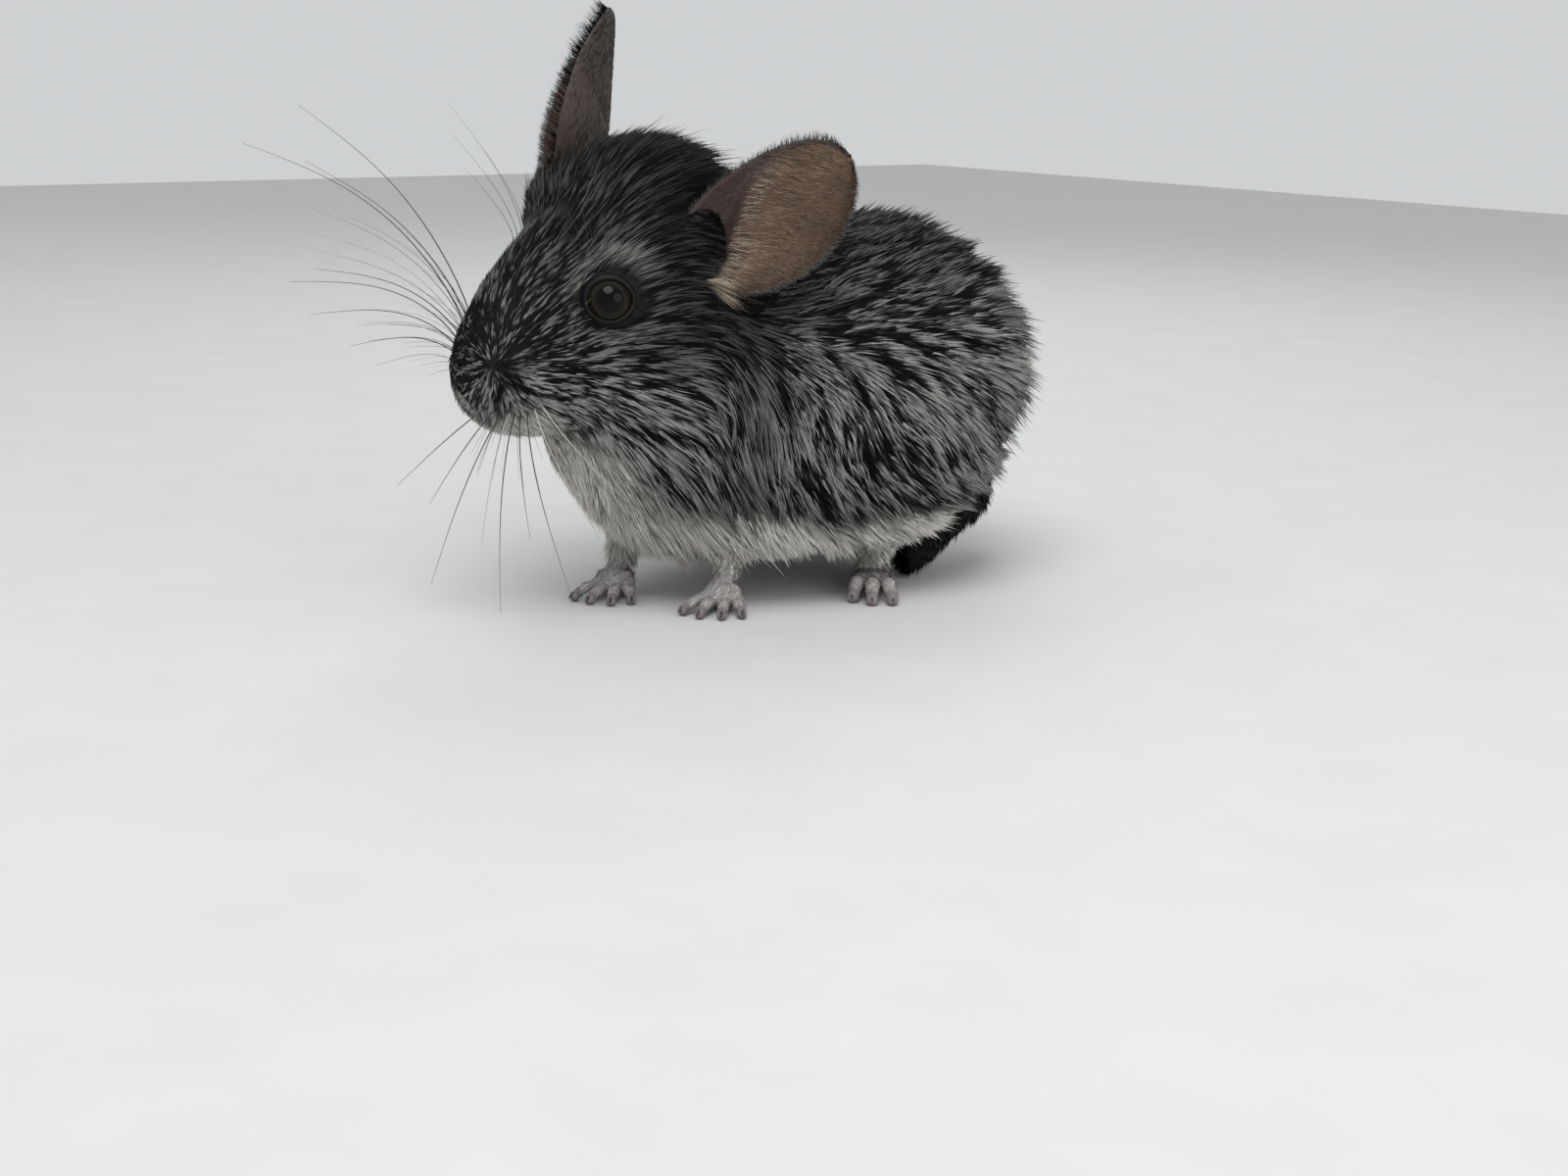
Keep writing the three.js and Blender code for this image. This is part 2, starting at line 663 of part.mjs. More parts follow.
// The origin is the bottom centre of the whole part's bounding box
const whole = solids.map(([, solid]) => solid.boundingBox());
const low = [0, 1, 2].map((k) => Math.min(...whole.map((box) => box.min[k])));
const high = [0, 1, 2].map((k) => Math.max(...whole.map((box) => box.max[k])));
const shift = [-(low[0] + high[0]) / 2, -(low[1] + high[1]) / 2, -low[2]];

const group = new THREE.Group();
group.name = "chinchilla";
for (const [name, solid, slot] of solids) {
  group.add(toMesh(solid.translate(shift), name, materials[slot]));
}
export default group;
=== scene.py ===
import math
import bpy
import numpy as np
from mathutils import Matrix, Vector, kdtree


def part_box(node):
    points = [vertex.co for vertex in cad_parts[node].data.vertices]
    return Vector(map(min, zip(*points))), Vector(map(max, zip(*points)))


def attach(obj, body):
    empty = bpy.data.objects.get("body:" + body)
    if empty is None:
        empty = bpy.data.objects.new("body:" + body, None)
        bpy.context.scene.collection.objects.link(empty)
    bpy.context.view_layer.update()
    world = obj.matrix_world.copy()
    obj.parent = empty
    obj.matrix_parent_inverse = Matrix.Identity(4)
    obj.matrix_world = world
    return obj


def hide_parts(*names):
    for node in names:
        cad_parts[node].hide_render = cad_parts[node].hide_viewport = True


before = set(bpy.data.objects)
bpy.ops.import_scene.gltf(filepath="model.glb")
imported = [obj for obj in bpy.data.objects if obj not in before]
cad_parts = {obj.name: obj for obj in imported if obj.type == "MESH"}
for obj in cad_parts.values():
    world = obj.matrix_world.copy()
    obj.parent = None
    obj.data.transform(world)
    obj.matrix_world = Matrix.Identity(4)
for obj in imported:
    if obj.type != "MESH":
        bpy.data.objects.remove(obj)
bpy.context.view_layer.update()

mm = 0.001

# All sizes below are in millimetres in the animal's own axes: +X its left, -Y its nose, +Z up.
animal = {
    "eyeCentre": (17.0, -72.4, 81.6),
    "eyeRadius": 6.3,
    "blend": 5.0,
    "noseTip": (0.0, -104.0, 68.0),
    "skinStep": 1.5,
    "skinBox": ((-60, -112, 3), (60, 82, 128)),
    "coatDepth": ((0, 12, 28, 45, 62, 85, 110, 210), (0.5, 0.8, 1.4, 2.1, 3.0, 4.4, 5.2, 5.6)),
}
eyeBox = np.array([list(corner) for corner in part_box("eye_left")]) / mm
shift = eyeBox.mean(axis=0) - np.array(animal["eyeCentre"])

# Blended ellipsoids of the coat's outline: centre, half sizes, nose-down pitch in degrees
forms = [
    ((0, 26.5, 56.3), (46, 46, 43.3), 0),
    ((0, -8, 27), (37, 43, 20), 0),
    ((0, -8, 53), (45, 47, 47), 0),
    ((0, -40, 52), (34, 33, 38), 0),
    ((0, -53, 70), (26, 26, 32), 0),
    ((-2, -48.5, 95.5), (26.5, 27, 25.5), 10),
    ((-19, -58.5, 101.5), (8.5, 10, 10.5), 0),
    ((9, -52, 78), (13, 17, 17), 0),
    ((-12, -52, 78), (13, 17, 17), 0),
    ((0, -77, 82), (10.5, 23, 16), 36),
    ((0, -90, 68), (8.5, 11, 9.5), 30),
    ((5.5, -89, 62), (7, 9.5, 7.5), 30),
    ((-5.5, -89, 62), (7, 9.5, 7.5), 30),
    ((0, -84, 57), (6.5, 8, 5), 0),
    ((31, 12, 43), (17, 30, 29), 0),
    ((-31, 12, 43), (17, 30, 29), 0),
]


def unit(vectors):
    # Each vector divided by its own length
    vectors = np.asarray(vectors, float)
    return vectors / np.maximum(np.linalg.norm(vectors, axis=-1, keepdims=True), 1e-9)


def mirrored(place, side):
    # A place or direction given for the left side, as it is on the side wanted
    return np.array(place) * (side, 1, 1)


def distanceTo(points, place):
    return np.linalg.norm(points - np.array(place), axis=-1)


def alongSurface(flow, normals):
    # The part of a direction that lies in the surface, as a unit vector
    return unit(flow - (flow * normals).sum(axis=-1, keepdims=True) * normals)


def smoothStep(low, high, value):
    # 0 below low, 1 above high, and the cubic 3t*t - 2t*t*t between them
    share = np.clip((value - low) / (high - low), 0, 1)
    return share * share * (3 - 2 * share)


def blend(first, second, share):
    # The first where the share is 0, the second where it is 1
    return np.asarray(first) * (1 - share) + np.asarray(second) * share


def roundAngles(count):
    return np.linspace(0, 2 * math.pi, count, endpoint=False)


def gridQuads(rows, columns, ring=False):
    # Corners of each cell between rows of points; in a ring the last column is next to the first
    i, j = np.meshgrid(np.arange(rows - 1), np.arange(columns if ring else columns - 1), indexing="ij")
    here, beside = i * columns + j, i * columns + (j + 1) % columns
    return np.stack([here, here + columns, beside + columns, beside], axis=-1).reshape(-1, 4)


def halves(quads):
    # Each four-cornered face as two triangles
    return np.concatenate([quads[:, [0, 1, 2]], quads[:, [0, 2, 3]]])


def turnedOut(points, faces, middle):
    # The faces, turned round where they look, taken together, towards the middle places of their corners
    corner = points[faces]
    facing = np.cross(corner[:, 1] - corner[:, 0], corner[:, 2] - corner[:, 0])
    if (facing * (corner[:, 0] - middle[faces[:, 0]])).sum() < 0:
        return faces[:, ::-1]
    return faces


def outlineField(points):
    # Minus k times the log of the sum of exp(-d/k) over the ellipsoids, where d is each one's distance
    total = np.zeros(points.shape[:-1])
    for centre, half, pitch in forms:
        cos, sin = math.cos(math.radians(pitch)), math.sin(math.radians(pitch))
        x, y, z = (points[..., k] - centre[k] for k in range(3))
        turned = (x, y * cos + z * sin, -y * sin + z * cos)
        near = np.sqrt(sum((turned[k] / half[k]) ** 2 for k in range(3)))
        slope = np.sqrt(sum((turned[k] / half[k] ** 2) ** 2 for k in range(3)))
        distance = near * (near - 1) / np.maximum(slope, 1e-6)
        total += np.exp(-np.clip(distance, -60, 200) / animal["blend"])
    return -animal["blend"] * np.log(np.maximum(total, 1e-30))


def coatDepth(points):
    # How far the coat's tips stand off the skin, read from a table by the distance to the nose
    return np.interp(distanceTo(points, animal["noseTip"]), *animal["coatDepth"])


bothSides = ((1, "Left"), (-1, "Right"))

lids = {"tube": 0.62, "facing": (0.80, -0.54, 0.22), "height": 2.6, "opening": 5.75}

legs = {
    "fore": {
        "wrist": {1: (18, -35), -1: (-10, -49)},
        "turn": {1: 38, -1: 36},
        "height": (9, 16, 22, 30, 38),
        "back": (1.6, 3.2, 3.6, 3.4, 2.6),
        "radius": (2.9, 3.3, 4.6, 6.4, 7.2),
    },
    "hind": {
        "toeRoot": {1: (32, 4), -1: (-34, 5)},
        "turn": {1: 48, -1: -30},
        "height": (5.5, 10, 17, 25),
        "back": (9, 11, 13, 14),
        "radius": (3.4, 4.0, 5.4, 7.2),
    },
}


def heading(turn):
    # Unit vector straight ahead, turned towards the animal's left by an angle in degrees
    return np.array([math.sin(math.radians(turn)), -math.cos(math.radians(turn)), 0.0])


def legPaths():
    paths = []
    for side in (1, -1):
        for kind, start in (("fore", "wrist"), ("hind", "toeRoot")):
            leg = legs[kind]
            base = np.array([*leg[start][side], 0.0])
            back = -heading(leg["turn"][side])
            path = [base + back * b + np.array([0, 0, h]) for b, h in zip(leg["back"], leg["height"])]
            paths.append((np.array(path), np.array(leg["radius"])))
    return paths


def chainField(points, path, radius):
    # Least distance to the straight pieces of a path, less a radius that runs evenly between the stations
    best = np.full(points.shape[:-1], 1e3)
    for a, b, ra, rb in zip(path[:-1], path[1:], radius[:-1], radius[1:]):
        run = b - a
        share = np.clip(((points - a) @ run) / (run @ run), 0, 1)
        gap = np.linalg.norm(points - a - share[..., None] * run, axis=-1) - (ra + share * (rb - ra))
        best = np.minimum(best, gap)
    return best


def softUnion(first, second, width):
    # The lesser of two distances with the corner between them rounded over a width
    mix = np.clip(0.5 + 0.5 * (second - first) / width, 0, 1)
    return second * (1 - mix) + first * mix - width * mix * (1 - mix)


def skinField(points):
    # The outline moved in by the coat's depth, joined with the legs and with a ball round each eye, which
    # a plane cuts off in front
    field = outlineField(points) + coatDepth(points)
    for path, radius in legPaths():
        field = softUnion(field, chainField(points, path, radius), 3.0)
    for side in (1, -1):
        away = points - mirrored(animal["eyeCentre"], side)
        out = unit(mirrored(lids["facing"], side))
        ball = np.linalg.norm(away, axis=-1) - animal["eyeRadius"] - 0.6
        cut = away @ out - lids["height"]
        field = np.maximum(softUnion(field, ball, 2.0), np.where(ball < 6, cut, -99.0))
    return field


def slopeOf(field, points, step=0.05):
    # Central differences of a field along the three axes
    slopes = []
    for k in range(3):
        move = np.zeros(3)
        move[k] = step
        slopes.append((field(points + move) - field(points - move)) / (2 * step))
    return np.stack(slopes, axis=-1)


def netSurface(field, low, high, step):
    # Surface net: one vertex in each grid cell that the surface crosses, at the mean of its edge crossings
    axes = [np.arange(low[k], high[k] + step, step) for k in range(3)]
    grid = np.stack(np.meshgrid(*axes, indexing="ij"), axis=-1)
    values = field(grid)
    inside = values < 0
    size = np.array(values.shape) - 1
    corners = [(i, j, k) for i in (0, 1) for j in (0, 1) for k in (0, 1)]
    count = 0
    for corner in corners:
        window = tuple(slice(corner[k], size[k] + corner[k]) for k in range(3))
        count = count + inside[window].astype(int)
    active = (count > 0) & (count < 8)
    cells = np.argwhere(active)
    index = np.full(active.shape, -1)
    index[active] = np.arange(len(cells))
    total = np.zeros((len(cells), 3))
    hits = np.zeros(len(cells))
    for corner, axis in [(start, k) for start in corners for k in range(3) if not start[k]]:
        other = corner + np.eye(3, dtype=int)[axis]
        first, second = (values[tuple((cells + end).T)] for end in (corner, other))
        cross = (first < 0) != (second < 0)
        place = np.tile(np.array(corner, float), (len(cells), 1))
        place[:, axis] += first / np.where(first == second, 1, first - second)
        total += place * cross[:, None]
        hits += cross
    vertices = np.array(low) + step * (cells + total / hits[:, None])
    faces = []
    for axis in range(3):
        u, v = (axis + 1) % 3, (axis + 2) % 3
        spots = np.argwhere(np.diff(inside, axis=axis))
        for k in (u, v):
            spots = spots[(spots[:, k] > 0) & (spots[:, k] < size[k])]
        stepU, stepV = np.eye(3, dtype=int)[[u, v]]
        around = ((1, 1), (0, 1), (0, 0), (1, 0))
        quad = np.stack([index[tuple((spots - a * stepU - b * stepV).T)] for a, b in around], axis=1)
        inward = ~inside[tuple(spots.T)]
        quad[inward] = quad[inward][:, ::-1]
        faces.append(quad)
    faces = np.concatenate(faces)
    return vertices, faces[(faces >= 0).all(axis=1)]


def settle(field, vertices, rounds=3):
    # Newton steps: each vertex moves along the slope by its distance over the slope's length, 0.8 at most
    for _ in range(rounds):
        slope = slopeOf(field, vertices)
        move = field(vertices)[:, None] * slope / np.maximum((slope ** 2).sum(axis=1, keepdims=True), 0.05)
        vertices = vertices - np.clip(move, -0.8, 0.8)
    return vertices


def addObject(name, data):
    thing = bpy.data.objects.new(name, data)
    bpy.context.collection.objects.link(thing)
    return thing


def makeMesh(name, vertices, faces, material):
    # Vertices come in millimetres in the animal's axes and go into the part's frame in metres
    mesh = bpy.data.meshes.new(name)
    points = ((np.asarray(vertices) + shift) * mm).astype(np.float32)
    faces = np.asarray(faces, dtype=np.int32)
    mesh.vertices.add(len(points))
    mesh.vertices.foreach_set("co", points.ravel())
    mesh.loops.add(faces.size)
    mesh.loops.foreach_set("vertex_index", faces.ravel())
    mesh.polygons.add(len(faces))
    mesh.polygons.foreach_set("loop_start", np.arange(len(faces), dtype=np.int32) * faces.shape[1])
    mesh.polygons.foreach_set("use_smooth", np.ones(len(faces), bool))
    mesh.update(calc_edges=True)
    mesh.validate()
    piece = addObject(name, mesh)
    mesh.materials.append(material)
    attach(piece, "root")
    return piece


def paint(piece, colours):
    # Vertex colours in linear light, kept as the attribute that the materials read
    mesh = piece.data
    layer = mesh.color_attributes.new("coatColour", "FLOAT_COLOR", "POINT")
    full = np.ones((len(mesh.vertices), 4), np.float32)
    full[:, :3] = colours
    layer.data.foreach_set("color", full.ravel())


def latticeNoise(points, size, seed):
    # Random values on a lattice, mixed smoothly between its eight nearest corners; from -1 to 1
    table = np.random.default_rng(seed).uniform(-1, 1, (32, 32, 32))
    place = np.asarray(points) / size + 100
    cell = np.floor(place).astype(int)
    part = place - cell
    part = part * part * (3 - 2 * part)
    total = 0
    for i in (0, 1):
        for j in (0, 1):
            for k in (0, 1):
                weight = 1
                for axis, pick in enumerate((i, j, k)):
                    weight = weight * (part[..., axis] if pick else 1 - part[..., axis])
                spot = (cell + (i, j, k)) % 32
                total = total + weight * table[spot[..., 0], spot[..., 1], spot[..., 2]]
    return total


# Materials

def setInputs(node, values):
    for name, value in values.items():
        node.inputs[name].default_value = value


def nodeMaterial(name, roughness, specular=0.5, coat=0.0):
    material = bpy.data.materials.new(name)
    material.use_nodes = True
    shader = material.node_tree.nodes["Principled BSDF"]
    setInputs(shader, {"Roughness": roughness, "Specular IOR Level": specular})
    setInputs(shader, {"Coat Weight": coat, "Coat Roughness": 0.1})
    return material, material.node_tree.nodes, material.node_tree.links, shader


def noiseNode(nodes, links, scale):
    noise = nodes.new("ShaderNodeTexNoise")
    setInputs(noise, {"Scale": scale, "Detail": 4.0})
    links.new(nodes.new("ShaderNodeTexCoord").outputs["Object"], noise.inputs["Vector"])
    return noise


def paintNode(nodes):
    # Reads the colours that paint puts on a piece
    node = nodes.new("ShaderNodeVertexColor")
    node.layer_name = "coatColour"
    return node.outputs["Color"]


def paintedMaterial(name, roughness, noiseScale, low, high, bump=0.0, **more):
    # The painted colour times a ramp of fine noise, with the same noise as a bump
    material, nodes, links, shader = nodeMaterial(name, roughness, **more)
    colour = paintNode(nodes)
    noise = noiseNode(nodes, links, noiseScale)
    ramp = nodes.new("ShaderNodeMapRange")
    setInputs(ramp, {"From Min": 0.3, "From Max": 0.7, "To Min": low, "To Max": high})
    links.new(noise.outputs["Fac"], ramp.inputs["Value"])
    scale = nodes.new("ShaderNodeVectorMath")
    scale.operation = "SCALE"
    links.new(colour, scale.inputs[0])
    links.new(ramp.outputs["Result"], scale.inputs["Scale"])
    links.new(scale.outputs["Vector"], shader.inputs["Base Color"])
    if bump:
        relief = nodes.new("ShaderNodeBump")
        setInputs(relief, {"Strength": bump, "Distance": 0.0004})
        links.new(noise.outputs["Fac"], relief.inputs["Height"])
        links.new(relief.outputs["Normal"], shader.inputs["Normal"])
    return material


hairMaterial = paintedMaterial("coatHair", 0.68, 900, 0.85, 1.15, specular=0.12)
skinMaterial = paintedMaterial("underCoat", 0.9, 700, 0.7, 1.3, bump=0.6, specular=0.1)
earMaterial = paintedMaterial("earSkin", 0.5, 420, 0.86, 1.14, bump=0.25, specular=0.35)
pawMaterial = paintedMaterial("pawSkin", 0.6, 650, 0.85, 1.12, bump=0.35, specular=0.35)
clawMaterial = paintedMaterial("clawHorn", 0.32, 500, 0.8, 1.2, specular=0.5, coat=0.2)
whiskerMaterial = paintedMaterial("whiskerHair", 0.4, 300, 0.9, 1.1, specular=0.4)

# Angles of the iris's two soft edges are in radians from the middle of the eye's front
eyeLook = {
    "iris": (0.012, 0.0095, 0.006), "pupil": (0.0012, 0.0012, 0.0014), "roughness": 0.035,
    "innerEdge": (0.52, 0.62), "outerEdge": (1.12, 0.95), "bulge": 0.035, "bulgeWidth": 0.75, "size": 0.985,
}
eyeMaterial, nodes, links, shader = nodeMaterial("wetEye", eyeLook["roughness"], 0.14)
links.new(paintNode(nodes), shader.inputs["Base Color"])
lidMaterial = paintedMaterial("lidSkin", 0.5, 900, 0.8, 1.2, bump=0.2, specular=0.2)

# Camera, lights and floor

view = {
    "place": (467.1, -394.7, 144.0),
    "heading": 49.8,
    "pitch": 13.6,
    "roll": 1.25,
    "focal": 51.75,
}


def aimCamera():
    turn, tilt, roll = (math.radians(view[key]) for key in ("heading", "pitch", "roll"))
    away = Vector((-math.sin(turn), math.cos(turn), 0))
    right = Vector((math.cos(turn), math.sin(turn), 0))
    up = Vector((0, 0, 1))
    look = away * math.cos(tilt) - up * math.sin(tilt)
    head = up * math.cos(tilt) + away * math.sin(tilt)
    cameraRight = right * math.cos(roll) + head * math.sin(roll)
    cameraUp = head * math.cos(roll) - right * math.sin(roll)
    data = bpy.data.cameras.new("photoView")
    camera = addObject("photoView", data)
    turned = Matrix((cameraRight, cameraUp, -look)).transposed().to_4x4()
    place = Vector((np.array(view["place"]) + shift) * mm)
    camera.matrix_world = Matrix.Translation(place) @ turned
    data.lens = view["focal"]
    data.sensor_width = 36
    data.clip_start = 0.01
    bpy.context.scene.camera = camera


room = {
    "floorHalf": 1.6,
    "floorLow": (0.60, 0.60, 0.59, 1),
    "floorHigh": (0.66, 0.66, 0.65, 1),
    "sky": (0.86, 0.88, 0.9, 1),
    "skyStrength": 0.72,
    "aim": (0, 0, 0.06),
    # name, place, width and power of each round light
    "lamps": (
        ("keyLight", (0.35, -0.35, 0.95), 0.7, 6.0),
        ("fillLight", (0.8, 0.1, 0.35), 0.6, 1.2),
        ("rimLight", (-0.5, 0.55, 0.7), 0.5, 1.6),
    ),
}


def makeRoom():
    half = room["floorHalf"]
    corners = [(x * half, y * half, 0) for x, y in ((-1, -1), (1, -1), (1, 1), (-1, 1))]
    floor = bpy.data.meshes.new("floor")
    floor.from_pydata(corners, [], [(0, 1, 2, 3)])
    material, nodes, links, shader = nodeMaterial("paleFloor", 0.75, 0.3)
    noise = noiseNode(nodes, links, 30)
    ramp = nodes.new("ShaderNodeValToRGB")
    ramp.color_ramp.elements[0].color = room["floorLow"]
    ramp.color_ramp.elements[1].color = room["floorHigh"]
    links.new(noise.outputs["Fac"], ramp.inputs["Fac"])
    links.new(ramp.outputs["Color"], shader.inputs["Base Color"])
    floor.materials.append(material)
    addObject("floor", floor)

    world = bpy.data.worlds.new("paleRoom")
    world.use_nodes = True
    setInputs(world.node_tree.nodes["Background"], {"Color": room["sky"], "Strength": room["skyStrength"]})
    bpy.context.scene.world = world
    for name, place, width, power in room["lamps"]:
        data = bpy.data.lights.new(name, "AREA")
        data.shape = "DISK"
        data.size = width
        data.energy = power
        lamp = addObject(name, data)
        lamp.location = place
        aim = Vector(room["aim"]) - Vector(place)
        lamp.rotation_euler = aim.to_track_quat("-Z", "Y").to_euler()
    bpy.context.scene.view_settings.view_transform = "Standard"


aimCamera()
makeRoom()
print("camera and room ready")

# Coat colours in linear light

coatLook = {
    "root": (0.012, 0.011, 0.011),
    "band": (0.37, 0.36, 0.345),
    "tip": (0.006, 0.006, 0.006),
    "white": (0.80, 0.765, 0.71),
    "brow": (0.17, 0.16, 0.15),
    "faceReach": (85, 55),
    # Share of light strands by height, and its change along the body, nose to tail
    "bodyTone": (
        (20, 30, 42, 52, 62, 72, 82, 92, 120),
        (0.36, 0.22, 0.45, 0.78, 0.40, 0.24, 0.10, 0.05, 0.05),
    ),
    "bodyAlong": ((-60, -45, -20, 0, 30), (0.18, 0.22, 0.75, 1.0, 0.9)),
    "headTone": ((50, 60, 66, 72, 80, 90, 100), (1.0, 0.72, 0.2, 0.13, 0.11, 0.08, 0.06)),
    "headAlong": ((-100, -88, -76, -62), (0.95, 1.0, 1.0, 0.35)),
    "chinTone": 0.13,
    "fluff": 0.3,
    # Strand tone: base + gain * region * (1 + power) * luck ** power, with power 1 + sharp * darkness ** 2
    "base": 0.003,
    "gain": 0.62,
    "sharp": 5.5,
}

# Marks of the coat, with those of the head given for the left side
marks = {
    # Height of the white's upper edge, from the nose to the tail
    "whiteLine": (
        (-95, -86, -75, -69, -63, -56, -47, -27, -9, 3, 30, 60),
        (54, 51, 48, 41, 35, 31, 28, 26, 26, 26, 22, 20),
    ),
    "whiteEdge": 3,
    "headFrom": ((-30, -44), (58, 70)),
    # Lines: stations, radius at each, where the dark fades out and is full, and its strength
    "crown": [
        (((-20, -61, 115), (1, -66, 117), (12, -61, 117)), (0.8, 1, 0.6), 2.2, 0, 0.8),
        (((-20, -66, 109), (1, -71, 111), (12, -66, 111)), (0.8, 1, 0.6), 2.2, 0, 0.8),
    ],
    "face": [
        (((22.5, -68, 88), (22, -64, 98), (19.8, -60, 107), (19, -50, 111)), (2, 3, 3.2, 4), 3, -2, 0.9),
        (((-2, -77, 104), (7, -80, 98), (11, -82, 92)), (1, 1.2, 0.6), 3, 0, 0.7),
    ],
    # Rings round the eye: start, full and end of the ring and of its angles, and its strength
    "brow": ((7.6, 9.0, 11.0, 13.0), (10, 35, 150, 176), 0.9),
    "underEye": ((7.4, 8.4, 9.6, 11.2), (-130, -112, -50, -30), 0.75),
    # Balls: centre, where it fades out and is full, and its strength
    "whiskerPad": ((11.4, -99, 64.8), 4.5, 1.5, 0.9),
    "eyeCorner": ((14.8, -81.4, 81.1), 3.5, 1.5, 0.7),
    "earFoot": ((28.5, -47, 88.0), 9, 3, 0.85),
}


def lineNoise(points, flow, size, seed, steps=3):
    # Lattice noise averaged along the lie of the coat, so that it draws out into locks; near -1 to 1
    total = 0
    for k in range(-steps, steps + 1):
        total = total + latticeNoise(points + flow * (k * size * 0.75), size, seed)
    return np.clip(total / math.sqrt(2 * steps + 1) * 2.1, -1.2, 1.2)


def eyeSpot(points, side):
    # Distance from an eye across the face, and the angle round it: 0 at the nose side, 90 above it
    out = unit(mirrored((0.80, -0.55, 0.22), side))
    ahead = unit(mirrored((-0.42, -0.85, -0.28), side))
    ahead = unit(ahead - (ahead @ out) * out)
    above = np.cross(out, ahead) * (-side)
    away = points - mirrored(animal["eyeCentre"], side)
    forward, upward = away @ ahead, away @ above
    depth = away @ out
    return np.where(depth > -8, np.hypot(forward, upward), 99.0), np.degrees(np.arctan2(upward, forward))


def lineMark(points, side, mark):
    # The strength, fading with the distance from the line's own thickness
    stations, radii, fades, full, strength = mark
    return strength * smoothStep(fades, full, chainField(points, mirrored(stations, side), radii))


def ballMark(points, side, mark):
    # The strength, fading with the distance from one place
    centre, fades, full, strength = mark
    return strength * smoothStep(fades, full, distanceTo(points, mirrored(centre, side)))


def ringMark(reach, angle, mark):
    # Up and down again across the ring, and up and down again along its angles
    (a, b, c, d), (e, f, g, h), strength = mark
    ring = smoothStep(a, b, reach) * smoothStep(d, c, reach)
    return strength * (ring * (smoothStep(e, f, angle) * smoothStep(h, g, angle)))


def markings(points, normals):
    # Shares of white, dark and pale for each place of the coat
    y, z = points[..., 1], points[..., 2]
    broad = latticeNoise(points, 14, 3)
    line, edge = np.interp(y, *marks["whiteLine"]), marks["whiteEdge"]
    white = smoothStep(line + edge, line - edge, z + 4 * broad) * smoothStep(0.75, 0.2, normals[..., 2])
    white = np.where((z < 16) & (np.abs(y) < 70), np.maximum(white, smoothStep(17, 9, z)), white)
    dark = np.zeros(points.shape[:-1])
    pale = np.zeros(points.shape[:-1])
    alongHead, upHead = marks["headFrom"]
    onHead = smoothStep(*alongHead, y) * smoothStep(*upHead, z)
    for mark in marks["crown"]:
        dark = np.maximum(dark, lineMark(points, 1, mark) * onHead)
    for side in (1, -1):
        reach, angle = eyeSpot(points, side)
        rings = np.maximum(ringMark(reach, angle, marks["brow"]), ringMark(reach, angle, marks["underEye"]))
        pale = np.maximum(pale, rings * onHead)
        for mark in marks["face"]:
            dark = np.maximum(dark, lineMark(points, side, mark) * onHead)
        for name in ("whiskerPad", "eyeCorner"):
            dark = np.maximum(dark, ballMark(points, side, marks[name]))
        pale = np.maximum(pale, ballMark(points, side, marks["earFoot"]))
    return white, dark * (1 - pale), pale


def coatColours(points, normals, luck, rows):
    # Colour at each row of a tuft: slate root, light band, black tip, moved by the markings and by luck
    white, dark, pale = markings(points, normals)
    y, z = points[..., 1], points[..., 2]
    face = smoothStep(*coatLook["faceReach"], distanceTo(points, animal["noseTip"]))
    region = np.interp(z, *coatLook["bodyTone"]) * np.interp(y, *coatLook["bodyAlong"])
    headTone = np.interp(z, *coatLook["headTone"]) * np.interp(y, *coatLook["headAlong"])
    headTone = np.maximum(headTone, coatLook["chinTone"] * smoothStep(75, 65, z))
    fluff = smoothStep(0.0, 0.7, latticeNoise(points, 9, 51)) * smoothStep(0, 25, y) * smoothStep(30, 50, z)
    fluff = fluff * smoothStep(82, 68, z)
    region = np.clip(blend(region, headTone, face) + coatLook["fluff"] * fluff, 0, 1.3)
    light = luck["light"]
    # The power grows with the darkness, so that light strands are few where the coat is dark
    power = 1 + coatLook["sharp"] * (1 - np.minimum(region, 1)) ** 2
    tone = coatLook["base"] + coatLook["gain"] * region * (1 + power) * light ** power
    tone = tone * (1 - 0.78 * dark)
    band = np.array(coatLook["band"])[None, :] * tone[:, None]
    browTone = np.array(coatLook["brow"]) * (0.45 + 0.75 * light[:, None])
    band = blend(band, browTone, pale[:, None])
    tipShare = np.clip(luck["tip"] * (1 - 0.55 * face) + 0.5 * dark - 0.6 * pale - 0.3 * fluff, 0, 1)
    whiteTone = np.array(coatLook["white"])[None, :] * (0.5 + 0.5 * light[:, None])
    colours = []
    for row in rows:
        colour = blend(coatLook["root"], band, smoothStep(0.05, 0.5, row))
        colour = blend(colour, coatLook["tip"], smoothStep(0.55, 0.95, row) * tipShare[:, None])
        colours.append(blend(colour, whiteTone, (0.75 + 0.25 * row) * white[:, None]))
    return np.stack(colours, axis=1)


